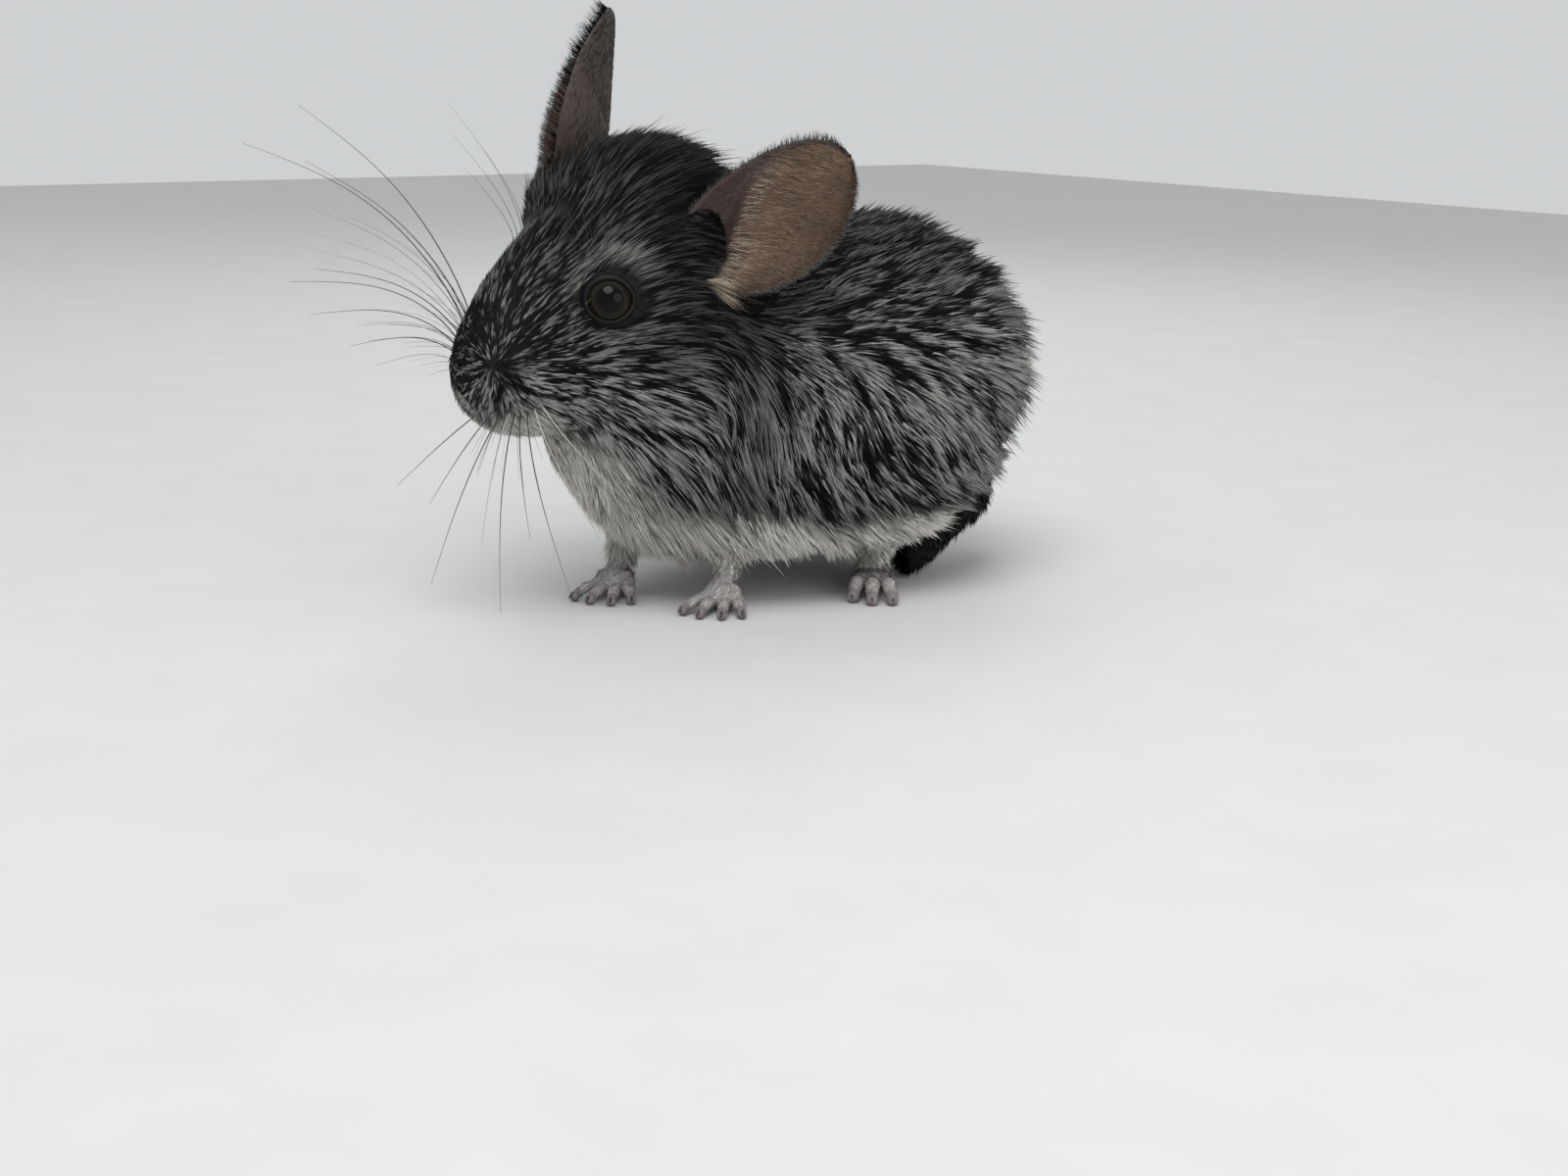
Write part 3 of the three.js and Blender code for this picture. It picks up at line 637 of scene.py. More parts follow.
def coatFlow(points, normals):
    # The lie of the coat: out from the whisker pads and the nose on the head, then down the neck, forward
    # on the chest and back along the flanks, straight down on the legs
    x, y, z = points[..., 0], points[..., 1], points[..., 2]
    pad = np.stack([9.0 * np.sign(x), np.full_like(x, -101.0), np.full_like(x, 67.0)], axis=-1)
    low = smoothStep(92, 74, z)[..., None]
    nose = np.array(animal["noseTip"]) + np.array([0, -4, 2])
    fromNose = blend(unit(points - nose), unit(points - pad), low)
    head = smoothStep(78, 46, distanceTo(points, animal["noseTip"]))[..., None]
    sideways = 1 - np.abs(normals[..., 2])
    along = np.interp(y, [-75, -55, -35, -10, 30, 75], [-0.75, -0.45, 0.0, 0.45, 0.9, 0.8])
    along = along + np.interp(z, [70, 100], [0, 1.2])
    body = np.stack([0 * x, along + 1.5 * (1 - sideways), -1.15 * sideways], axis=-1)
    flow = blend(unit(body), fromNose, head)
    flow = blend(flow, (0, 0.1, -1.0), smoothStep(24, 14, z)[..., None])
    swirl, fine = (
        np.stack([latticeNoise(points, size, seed + k) for k in range(3)], axis=-1)
        for size, seed in ((15, 11), (5, 21))
    )
    flow = unit(flow) + (0.36 * swirl + 0.30 * fine) * (1 - 0.62 * head)
    return alongSurface(flow, normals)


def growTufts(name, roots, normals, flow, look, colours, uv):
    # Each tuft is a three-sided tapered bar on a bent line: root + L*(t*start + t*t*(end - start)/2)
    look = {"rows": (0.0, 0.55), "widths": (1.0, 0.8), "pull": 0.0} | look
    rows = np.array(look["rows"])
    widths = np.array(look["widths"])
    count, rowCount = len(roots), len(rows)
    if colours.ndim == 2:
        colours = np.repeat(colours[:, None, :], rowCount + 1, axis=1)
    sizes = [np.broadcast_to(look[key], count)[:, None] for key in ("length", "width", "lift", "endLift")]
    length, width, lift, settleLift = sizes
    start = unit(flow * np.cos(lift) + normals * np.sin(lift))
    end = unit(flow * np.cos(settleLift) + normals * np.sin(settleLift))
    side = unit(np.cross(normals, flow))
    vertices = np.zeros((count, rowCount * 3 + 1, 3))
    shade = np.zeros_like(vertices)
    for r, row in enumerate([*rows, 1.0]):
        line = roots + length * (row * start + 0.5 * row * row * (end - start)) + look["pull"] * row * row
        along = unit(start + row * (end - start))
        rise = np.cross(side, along)
        if r == rowCount:
            vertices[:, -1] = line
            shade[:, -1] = unit(normals * 0.9 + along * 0.4)
            continue
        half = 0.5 * width * widths[r]
        for k in range(3):
            angle = 2 * math.pi * k / 3 + math.pi / 2
            offset = side * math.cos(angle) - rise * math.sin(angle) * 0.55
            vertices[:, r * 3 + k] = line + half * offset
            shade[:, r * 3 + k] = unit(normals * 0.85 + offset * 0.35 + along * 0.15)
    vertices[..., 2] = np.maximum(vertices[..., 2], 0.15)
    pattern = [(0, 2, 1)]
    for r in range(rowCount - 1):
        for k in range(3):
            a, b = r * 3 + k, r * 3 + (k + 1) % 3
            pattern += [(a, b, b + 3), (a, b + 3, a + 3)]
    last = (rowCount - 1) * 3
    for k in range(3):
        pattern.append((last + k, last + (k + 1) % 3, last + 3))
    pattern = np.array(pattern)
    perTuft = rowCount * 3 + 1
    faces = (pattern[None] + (np.arange(count) * perTuft)[:, None, None]).reshape(-1, 3)
    made = []
    limit = 190000 // len(pattern)
    pieces = max(1, math.ceil(count / limit))
    bounds = np.linspace(0, count, pieces + 1).astype(int)
    across = np.concatenate([np.tile([0.0, 0.5, 1.0], rowCount), [0.5]])
    along = np.concatenate([np.repeat(rows, 3), [1.0]])
    patch = np.stack([across, along], axis=-1) * 0.003
    tuftColours = np.concatenate([np.repeat(colours[:, :-1], 3, axis=1), colours[:, -1:]], axis=1)
    for part in range(pieces):
        a, b = bounds[part], bounds[part + 1]
        label = name if pieces == 1 else f"{name}{part + 1}"
        chosen = faces[a * len(pattern): b * len(pattern)] - a * perTuft
        flat = vertices[a:b].reshape(-1, 3)
        piece = makeMesh(label, flat, chosen, hairMaterial)
        paint(piece, tuftColours[a:b].reshape(-1, 3))
        place = uv[a:b].copy()
        for k in range(2):
            low, high = place[:, k].min(), place[:, k].max()
            place[:, k] = (place[:, k] - low) / max(high - low, 1e-6) * 0.99 + 0.002
        spots = (place[:, None, :] + patch[None]).reshape(-1, 2)
        layer = piece.data.uv_layers.new(name="OFBake")
        layer.data.foreach_set("uv", spots[chosen.ravel()].astype(np.float32).ravel())
        piece.data.normals_split_custom_set_from_vertices(unit(shade[a:b].reshape(-1, 3)).tolist())
        made.append(piece)
    return made


def scatter(vertices, faces, density, seed):
    # Random places on the faces, as many in each as its area times the density there
    chance = np.random.default_rng(seed)
    triangles = halves(faces)
    a, b, c = (vertices[triangles[:, k]] for k in range(3))
    area = 0.5 * np.linalg.norm(np.cross(b - a, c - a), axis=1)
    share = area * density((a + b + c) / 3)
    number = np.floor(share + chance.random(len(share))).astype(int)
    pick = np.repeat(np.arange(len(triangles)), number)
    r1, r2 = np.sqrt(chance.random(len(pick))), chance.random(len(pick))
    weights = np.stack([1 - r1, r1 * (1 - r2), r1 * r2], axis=1)
    corners = vertices[triangles[pick]]
    return (corners * weights[:, :, None]).sum(axis=1), chance


def unwrapBody(points):
    # Angle round the body's long axis and the distance along it
    angle = np.arctan2(points[:, 0], points[:, 2] - 52)
    return np.stack([angle / (2 * math.pi) + 0.5, (points[:, 1] + 110) / 200], axis=1)


# Skin of the head, body and legs

skinPoints, skinFaces = netSurface(skinField, *animal["skinBox"], animal["skinStep"])
skinPoints = settle(skinField, skinPoints)
skinNormals = unit(slopeOf(skinField, skinPoints))
skinWhite = markings(skinPoints, skinNormals)[0][:, None]
skinColour = blend(np.array(coatLook["root"]) * 1.2, np.array(coatLook["white"]) * 0.6, skinWhite)
skin = makeMesh("skin", skinPoints, skinFaces, skinMaterial)
paint(skin, skinColour)
flesh = ["torso", "neck", "head", "muzzle", "haunch_left", "haunch_right", "foreleg_left", "foreleg_right"]
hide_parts(*flesh)
print("skin", len(skinPoints), "vertices")


# Ears: a leaning oval leaf with a pleat from the root's rear edge to the front of the tip

ear = {
    "halfWidth": 15.1,
    "halfLength": 24.2,
    "middle": 22.0,
    "tip": 46.2,
    "lean": (3.0, 0.17, -0.0047),
    "pleatTop": 38.0,
    "pleatStart": 0.96,
    "pleatBend": 1.75,
    "ridgeWidth": 0.08,
    "trough": 0.22,
    "thickness": 0.9,
    "flapTone": (0.105, 0.060, 0.036),
    "troughTone": (0.085, 0.056, 0.052),
    "rimTone": (0.030, 0.022, 0.020),
    "backTone": (0.048, 0.034, 0.027),
    "pose": {
        1: {
            "root": (21.8, -53.3, 93.2), "pointing": (0.42, 0.72, 0.49), "facing": (0.79, -0.59, 0.18),
            "curl": 0.22, "ridge": 2.0, "nod": 0.003, "bow": 0.0,
        },
        -1: {
            "root": (-22.4, -62.8, 109.5), "pointing": (-0.05, 0.42, 0.9), "facing": (-0.5, -0.86, 0.3),
            "curl": 0.46, "ridge": 1.0, "nod": 0.0, "bow": 4.0,
        },
    },
}


def earAxes(side):
    pose = ear["pose"][side]
    along = unit(np.array(pose["pointing"], float))
    face = np.array(pose["facing"], float)
    face = unit(face - (face @ along) * along)
    return np.cross(along, face) * side, along, face


def earHeight(step):
    # Angle round the oval for a step from the root, 0, to the tip, 1, and the height above the root there
    first = math.acos(ear["middle"] / ear["halfLength"])
    angle = first + (math.pi * 0.985 - first) * step
    return angle, ear["middle"] - ear["halfLength"] * np.cos(angle)


def earCrease(step):
    # Share of the width that lies in front of the pleat, which falls away towards the pleat's top
    height = earHeight(step)[1]
    return ear["pleatStart"] * np.maximum(0, 1 - height / ear["pleatTop"]) ** ear["pleatBend"]


def earLeaf(side, across, step):
    # Depth is the pleat's ridge, the nod and the bow, less the width times the trough and the curl
    pose = ear["pose"][side]
    angle, height = earHeight(step)
    half = ear["halfWidth"] * np.sin(angle)
    lean = ear["lean"]
    sideways = lean[0] + lean[1] * height + lean[2] * height ** 2 + half * (2 * across - 1)
    crease = earCrease(step)
    inside = np.clip(across / np.maximum(crease, 1e-6), 0, 1)
    trough = np.sin(math.pi * inside) * crease * ear["trough"]
    ridge = pose["ridge"] * np.exp(-(((across - crease) / ear["ridgeWidth"]) ** 2))
    ridge = ridge * np.minimum(1, crease / 0.2)
    curl = pose["curl"] * (1.35 - 0.0185 * height) * np.sin(math.pi * across).clip(0, 1) ** 0.8
    reach = height / ear["tip"]
    bend = pose["nod"] * height ** 2 + pose["bow"] * 4 * reach * (1 - reach)
    return np.stack([sideways, height, ridge - 2 * half * (curl + trough) + bend], axis=-1)


def earPlace(side, across, step, lift=0.0):
    axes = np.array(earAxes(side))
    e = 0.01
    near, far = np.clip(step - e, 0, 1), np.clip(step + e, 0, 1)
    front, rear = np.clip(across - e, 0, 1), np.clip(across + e, 0, 1)
    along = earLeaf(side, across, far) - earLeaf(side, across, near)
    wide = earLeaf(side, rear, step) - earLeaf(side, front, step)
    normal = unit(np.cross(wide, along))
    place = earLeaf(side, across, step) + np.asarray(lift)[..., None] * normal
    root = np.array(ear["pose"][side]["root"])
    return root + place @ axes, unit(normal @ axes), unit(along @ axes), unit(wide @ axes)


def makeEar(side, word):
    wide, tall = 48, 72
    column, step = np.meshgrid(np.linspace(0, 1, wide + 1), np.linspace(0, 1, tall + 1), indexing="ij")
    crease = np.maximum(earCrease(step), 0.14)
    across = np.where(column < 1 / 3, column * 3 * crease, crease + (column - 1 / 3) * 1.5 * (1 - crease))
    half = ear["thickness"] / 2 * (1 - 0.35 * np.abs(2 * across - 1) ** 3)
    inner = earPlace(side, across, step, half)[0]
    outer = earPlace(side, across, step, -half)[0]
    count = (wide + 1) * (tall + 1)
    vertices = np.concatenate([inner.reshape(-1, 3), outer.reshape(-1, 3)])
    sheet = gridQuads(wide + 1, tall + 1)
    faces = [sheet, sheet[:, ::-1] + count]
    index = np.arange(count).reshape(wide + 1, tall + 1)
    rims = [
        (index[0, :-1], index[0, 1:]),
        (index[-1, 1:], index[-1, :-1]),
        (index[1:, 0], index[:-1, 0]),
        (index[:-1, -1], index[1:, -1]),
    ]
    for p, q in rims:
        faces.append(np.stack([p, q, q + count, p + count], axis=1))
    faces = np.concatenate(faces)
    if side < 0:
        faces = faces[:, ::-1]
    piece = makeMesh(f"earSkin{word}", vertices, faces, earMaterial)
    share, rise = across.ravel(), step.ravel()
    gap = share - earCrease(rise)
    inFlap = smoothStep(-0.05, 0.06, gap)[:, None]
    rim = np.maximum(smoothStep(0.86, 1.0, share), smoothStep(0.86, 1.0, rise))[:, None]
    blush = 1 + 0.25 * latticeNoise(inner.reshape(-1, 3), 9, 5)[:, None]
    tone = blend(blend(ear["troughTone"], ear["flapTone"], inFlap), ear["rimTone"], 0.7 * rim)
    paint(piece, np.concatenate([tone * blush, ear["backTone"] * blush]))
    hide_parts(f"ear_{word.lower()}")


# Hairs on the ear: the down of the flap, the trough, the back and the long ones at the notch
earHair = {
    "earDown": {
        "number": 6000, "facing": 1, "length": 3.6, "shrink": 0, "width": 0.12, "lift": 10,
        "ahead": 0.45, "aside": 0.75, "stray": 0.10,
        "colour": (0.24, 0.165, 0.115), "rimColour": (0.085, 0.054, 0.036),
    },
    "earTrough": {
        "number": 1600, "facing": 1, "length": 3.2, "shrink": 0, "width": 0.13, "lift": 10,
        "ahead": 1, "aside": 0.35, "stray": 0.10,
        "colour": (0.12, 0.088, 0.078), "rimColour": (0.12, 0.088, 0.078),
    },
    "earBack": {
        "number": 4600, "facing": -1, "length": 2.0, "shrink": 0.35, "width": 0.20, "lift": 18,
        "ahead": 1, "aside": 0, "stray": 0.15,
        "colour": (1.0, 0.86, 0.76), "rimColour": (1.0, 0.86, 0.76),
    },
    "earNotch": {
        "number": 620, "facing": 1, "length": 12.0, "shrink": 1.1, "width": 0.14, "lift": 12,
        "ahead": 0.8, "aside": 0.6, "stray": 0.12,
        "colour": (0.36, 0.30, 0.24), "rimColour": (0.36, 0.30, 0.24),
    },
}
earFringe = {"number": 1500, "rear": 0.68, "length": (1.0, 2.6), "longer": {1: 0.3, -1: 0.9}, "width": 0.14}


def growEarHair(side, word, chance):
    for name, job in earHair.items():
        if name == "earNotch" and side < 0:
            continue
        number = job["number"]
        across, step = chance.random(number), chance.random(number) ** 0.9 * 0.97
        if name == "earNotch":
            step = step ** 2.2 * 0.6
        crease = earCrease(step)
        if name == "earDown":
            across = crease + 0.02 + (0.97 - crease) * across
        elif name == "earTrough":
            across = crease * across * 0.95
        elif name == "earNotch":
            across = np.clip(crease + 0.16 * (across - 0.35), 0.02, 0.98)
        depth = np.full(number, job["facing"] * ear["thickness"] / 2 * 0.8)
        place, normal, along, wide = earPlace(side, across, step, depth)
        normal = normal * job["facing"]
        # Share from the pleat outwards: 1 near it and 0 at the rim
        fade = smoothStep(1.0, 0.2, (across - crease) / np.maximum(1 - crease, 1e-6))[:, None]
        ahead = job["ahead"] + (0.5 * fade if name == "earDown" else 0)
        flow = along * ahead + wide * job["aside"] + job["stray"] * chance.normal(size=(number, 3))
        colour = blend(job["rimColour"], job["colour"], fade)
        size = job["length"] * (1 - job["shrink"] * step)
        if name == "earDown":
            size = size * (0.5 + 0.8 * fade[:, 0] * (1 - 0.5 * step))
        elif name == "earNotch":
            size = size * chance.uniform(0.4, 1, number)
        elif name == "earBack":
            colour = colour * chance.uniform(0.012, 0.11, (number, 1))
        colour = colour * chance.uniform(0.3, 1.6, (number, 1))
        look = {
            "length": size * chance.uniform(0.7, 1.2, number),
            "width": job["width"],
            "lift": np.radians(job["lift"]) * chance.uniform(0.5, 1.5, number),
            "endLift": np.radians(3),
        }
        spots = np.stack([across, step], axis=1)
        flow = alongSurface(flow, normal)
        growTufts(f"{name}{word}", place, normal, flow, look, colour, spots)


def growEarFringe(side, word, chance):
    # Hairs along the leaf's two edges, pointing out from it
    number = earFringe["number"]
    rear = chance.random(number) < earFringe["rear"]
    across = np.where(rear, 1.0, 0.0)
    step = chance.uniform(0.03, 0.985, number)
    place, normal, along, wide = earPlace(side, across, step, chance.uniform(-0.35, 0.35, number))
    stray = 0.18 * chance.normal(size=(number, 3))
    outward = unit(wide * np.where(rear, 1, -1)[:, None] + along * 0.35 + stray)
    flow = alongSurface(outward, normal)
    look = {
        "widths": (1.0, 0.75),
        "length": chance.uniform(*earFringe["length"], number) * (1 + earFringe["longer"][side] * ~rear),
        "width": earFringe["width"],
        "lift": np.radians(8) * chance.normal(size=number),
        "endLift": np.radians(5) * chance.normal(size=number),
    }
    tone = chance.uniform(0.015, 0.16, (number, 1)) * np.array([1.0, 0.93, 0.88])
    spots = np.stack([across, step], axis=1)
    growTufts(f"earFringe{word}", place, normal, flow, look, tone, spots)


for side, word in bothSides:
    chance = np.random.default_rng(70 + side)
    makeEar(side, word)
    growEarHair(side, word, chance)
    growEarFringe(side, word, chance)
print("ears ready")

# Coat of the body and of the head

lockSeed = 41
coarseSeed = 43
coats = {
    "body": {
        "density": 2.15, "width": 0.66, "rows": (0.0, 0.58), "widths": (0.9, 0.85),
        "lift": 56, "endLift": 22, "lock": 0.85, "pull": 0.7,
    },
    "head": {
        "density": 3.6, "width": 0.40, "rows": (0.0, 0.55), "widths": (0.9, 0.8),
        "lift": 28, "endLift": 10, "lock": 0.45, "pull": 0.4,
    },
}


def towardsLocks(points, flow, normals, size, seed):
    # Way across the lie towards the lighter side, from the difference of the lock noise on both sides
    side = unit(np.cross(normals, flow))
    left, right = (lineNoise(points + side * reach, flow, size, seed) for reach in (0.4 * size, -0.4 * size))
    return side * np.clip(left - right, -1, 1)[:, None] * size * 0.6


def earGap(points):
    # Distance from each point to the nearest of a grid of places on the two ears
    across, step = np.meshgrid(np.linspace(0.02, 0.98, 24), np.linspace(0.12, 0.98, 30), indexing="ij")
    places = np.concatenate([earPlace(side, across, step)[0].reshape(-1, 3) for side in (1, -1)])
    tree = kdtree.KDTree(len(places))
    for n, place in enumerate(places):
        tree.insert(place, n)
    tree.balance()
    gaps = np.full(len(points), 99.0)
    for n in np.flatnonzero((points[:, 2] > 75) & (points[:, 1] < 0)):
        gaps[n] = tree.find(points[n])[2]
    return gaps


def growCoat(name, keep, seed):
    coat = coats[name]
    roots, chance = scatter(skinPoints, skinFaces, lambda places: coat["density"] * keep(places), seed)
    order = np.argsort(roots[:, 1] + 0.001 * roots[:, 0])
    roots = roots[order]
    normals = unit(slopeOf(skinField, roots))
    flow = coatFlow(roots, normals)
    depth = coatDepth(roots)
    lowLeg = smoothStep(20, 11, roots[:, 2])
    depth = depth * (1 - 0.7 * lowLeg)
    lift = math.radians(coat["lift"]) * (1 + 0.25 * chance.normal(size=len(roots)).clip(-2, 2))
    endLift = math.radians(coat["endLift"])
    length = depth / np.sin((lift + endLift) * 0.55) * chance.uniform(0.82, 1.12, len(roots))
    lock = lineNoise(roots, flow, coat["lock"], lockSeed)
    coarse = lineNoise(roots, flow, coat["lock"] * 2.6, coarseSeed)
    coarseShare = 0.15 + 0.3 * smoothStep(95, 70, roots[:, 2])
    mixed = (0.68 - 0.4 * coarseShare) * lock + coarseShare * coarse + 0.36 * chance.normal(size=len(roots))
    light = smoothStep(-0.6, 0.8, mixed)
    tip = np.clip(0.62 - 0.5 * mixed + 0.25 * chance.normal(size=len(roots)), 0, 1)
    luck = {"light": light, "tip": tip}
    tall = 0.86 + 0.28 * light
    tall = tall * (0.3 + 0.7 * smoothStep(1.5, 8.0, earGap(roots + flow * 2.0)))
    ragged = 1 + 0.35 * smoothStep(0.45, 0.9, coarse) * smoothStep(10, 40, roots[:, 1])
    look = {
        "rows": coat["rows"],
        "widths": coat["widths"],
        "length": length * tall * ragged,
        "width": coat["width"] * chance.uniform(0.7, 1.3, len(roots)),
        "lift": lift,
        "endLift": endLift + 0.16 * coarse,
        "pull": towardsLocks(roots, flow, normals, coat["lock"], lockSeed) * coat["pull"],
    }
    colours = coatColours(roots, normals, luck, [*coat["rows"], 1.0])
    made = growTufts(f"{name}Coat", roots, normals, flow, look, colours, unwrapBody(roots))
    print(name, "coat", len(roots), "tufts in", len(made), "pieces")


def headShare(points):
    return smoothStep(88, 76, distanceTo(points, animal["noseTip"]))


def awayFromEyes(points):
    clear = np.ones(len(points))
    for side in (1, -1):
        clear = clear * (distanceTo(points, mirrored(animal["eyeCentre"], side)) > animal["eyeRadius"] + 1.2)
    return clear


def bellyThinning(points):
    # Fewer tufts low down between the legs, where the coat isn't seen
    return 1 - 0.6 * smoothStep(14, 8, points[:, 2]) * (np.abs(points[:, 0]) < 26)


growCoat("body", lambda p: (1 - headShare(p)) * bellyThinning(p) * awayFromEyes(p), 5)
growCoat("head", lambda p: headShare(p) * awayFromEyes(p), 6)

# Eyes: ball with a dark iris ring and a black pupil, and a rim of bare dark skin

def eyeFrame(side):
    centre = mirrored(animal["eyeCentre"], side)
    out = unit(mirrored(lids["facing"], side))
    right = unit(np.cross(out, (0, 0, 1)))
    return centre, (out, right, np.cross(right, out))


def fromAxis(away, around, axes):
    # Direction at one angle away from the first axis and another angle round it
    return (
        np.cos(away)[..., None] * axes[0]
        + (np.sin(away) * np.cos(around))[..., None] * axes[1]
        + (np.sin(away) * np.sin(around))[..., None] * axes[2]
    )


def makeEye(side, word):
    # A ball whose radius grows in front by the bulge times exp of minus the squared angle over its width
    centre, axes = eyeFrame(side)
    rings, spokes = 40, 56
    theta = np.linspace(0, math.pi, rings + 1)[:, None]
    phi = roundAngles(spokes)[None, :]
    bulge = 1 + eyeLook["bulge"] * np.exp(-((theta / eyeLook["bulgeWidth"]) ** 2))
    radius = animal["eyeRadius"] * eyeLook["size"] * bulge
    points = centre + (radius * np.ones_like(phi))[..., None] * fromAxis(theta, phi, axes)
    vertices = np.concatenate([points[:1, 0], points[1:-1].reshape(-1, 3), points[-1:, 0]])
    ring = np.arange(spokes)
    nextRing = (ring + 1) % spokes
    end = 1 + (rings - 2) * spokes
    caps = np.stack([np.zeros(spokes, int), 1 + ring, 1 + nextRing], axis=1)
    tail = np.stack([np.full(spokes, len(vertices) - 1), end + nextRing, end + ring], axis=1)
    triangles = np.concatenate([halves(1 + gridQuads(rings - 1, spokes, True)), caps, tail])
    spot = np.arccos(np.clip(unit(vertices - centre) @ axes[0], -1, 1))
    iris = smoothStep(*eyeLook["innerEdge"], spot) * smoothStep(*eyeLook["outerEdge"], spot)
    eye = makeMesh(f"eyeball{word}", vertices, triangles, eyeMaterial)
    paint(eye, blend(eyeLook["pupil"], eyeLook["iris"], iris[:, None]))
    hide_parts(f"eye_{word.lower()}")


def makeLid(side, word):
    # A closed tube round the eye's opening, drawn out a little at its inner corner
    centre, axes = eyeFrame(side)
    turns, sides = 72, 10
    around = roundAngles(turns)[:, None]
    small = roundAngles(sides)[None, :]
    lean = math.asin(lids["opening"] / (animal["eyeRadius"] + 0.3))
    wide = lean * (1 + 0.05 * np.cos(2 * around) + 0.10 * np.exp(-((np.cos(around) + 1) / 0.12) ** 2))
    outward = fromAxis(wide, around, axes)
    sideways = unit(np.cross(outward, np.roll(outward, 1, axis=0) - outward))
    tube = lids["tube"] * (1 + 0.3 * np.sin(around))
    base = centre + outward * (animal["eyeRadius"] + 0.25)
    points = base + (tube * np.cos(small))[..., None] * outward
    points = (points + (tube * 1.5 * np.sin(small))[..., None] * sideways).reshape(-1, 3)
    quads = gridQuads(turns + 1, sides, True) % (turns * sides)
    quads = turnedOut(points, quads, np.repeat(base.reshape(turns, 3), sides, axis=0))
    lid = makeMesh(f"lidRim{word}", points, quads, lidMaterial)
    shadeNoise = 0.8 + 0.3 * latticeNoise(points, 1.3, 8)
    paint(lid, np.array([0.006, 0.005, 0.005]) * shadeNoise[:, None])


for side, word in bothSides:
    makeEye(side, word)
    makeLid(side, word)
print("eyes and lids ready")

# Feet: a palm of blended toe bones, toes with pads, and dark claws

feet = {
    "fore": {
        "lengths": (9.5, 11, 10.6, 8.5), "spread": 2.5, "fan": 17, "palm": 6.0,
        "heights": (2.9, 3.1, 1.7), "radii": (1.45, 1.25, 1.15), "claw": 2.0,
        "heelBack": 1.5, "heelHeight": 8.5, "heelRadius": 2.7,
    },
    "hind": {
        "lengths": (10.5, 13, 12.5), "spread": 3.2, "fan": 10, "palm": -1.0,
        "heights": (3.4, 4.3, 2.0), "radii": (2.0, 1.9, 1.5), "claw": 1.8,
        "heelBack": 34, "heelHeight": 3.6, "heelRadius": 3.2,
    },
}
pawLook = {
    "skin": (0.36, 0.32, 0.31), "sole": (0.20, 0.13, 0.13),
    "toe": (0.10, 0.085, 0.09), "claw": (0.035, 0.028, 0.028),
    "step": 0.42, "hairDensity": 3.4, "hairWidth": 0.30, "hairTone": (0.30, 0.66),
}


def toePaths(kind, side):
    # Three stations for each toe, fanned out round the foot's heading, and the place of the heel
    foot, leg = feet[kind], legs[kind]
    start = np.array([*leg["wrist" if kind == "fore" else "toeRoot"][side], 0.0])
    turn = leg["turn"][side]
    ahead = heading(turn)
    sideways = np.array([-ahead[1], ahead[0], 0.0])
    palm = start + ahead * foot["palm"]
    paths = []
    for n, length in enumerate(foot["lengths"]):
        share = n - (len(foot["lengths"]) - 1) / 2
        out = heading(turn + share * foot["fan"])
        root = palm + sideways * share * foot["spread"]
        toe = [root + out * length * k / 2 + np.array([0, 0, h]) for k, h in enumerate(foot["heights"])]
        paths.append(np.array(toe))
    heel = start - ahead * foot["heelBack"] + np.array([0, 0, foot["heelHeight"]])
    return paths, heel


def makeClaws(kind, word, paths):
    # A bent cone at each toe's end: its radius falls with the length to the power 1.6
    foot = feet[kind]
    rows, sides = 7, 10
    t = np.linspace(0, 1, rows)[:, None, None]
    angle = roundAngles(sides)[None, :, None]
    radius = 0.62 * (1 - t ** 1.6 * 0.9)
    ends = np.array([[0, k, k + 1, k + 1] for k in range(1, sides - 1)])
    points, faces = [], []
    for n, toe in enumerate(paths):
        ahead = unit(toe[2] - toe[1])
        ahead = unit(np.array([ahead[0], ahead[1], -0.28]))
        sideways = unit(np.cross(ahead, (0, 0, 1)))
        above = np.cross(sideways, ahead)
        base = toe[2] + np.array([0, 0, 0.55]) + ahead * (foot["radii"][2] * 0.5)
        line = base + ahead * foot["claw"] * t - above * 0.35 * t * t
        ring = line + radius * (np.cos(angle) * sideways * 0.8 + np.sin(angle) * above)
        ring[..., 2] = np.maximum(ring[..., 2], 0.05)
        points.append(ring.reshape(-1, 3))
        first = n * rows * sides
        faces.append(gridQuads(rows, sides, True)[:, ::-1] + first)
        faces.append(ends + first)
        faces.append(ends[:, ::-1] + (rows - 1) * sides + first)
    points = np.concatenate(points)
    triangles = halves(np.concatenate(faces))
    whole = [triangles[:, k] != triangles[:, (k + 1) % 3] for k in range(3)]
    claws = makeMesh(f"{kind}Claws{word}", points, triangles[np.all(whole, axis=0)], clawMaterial)
    paint(claws, np.tile(pawLook["claw"], (len(points), 1)))


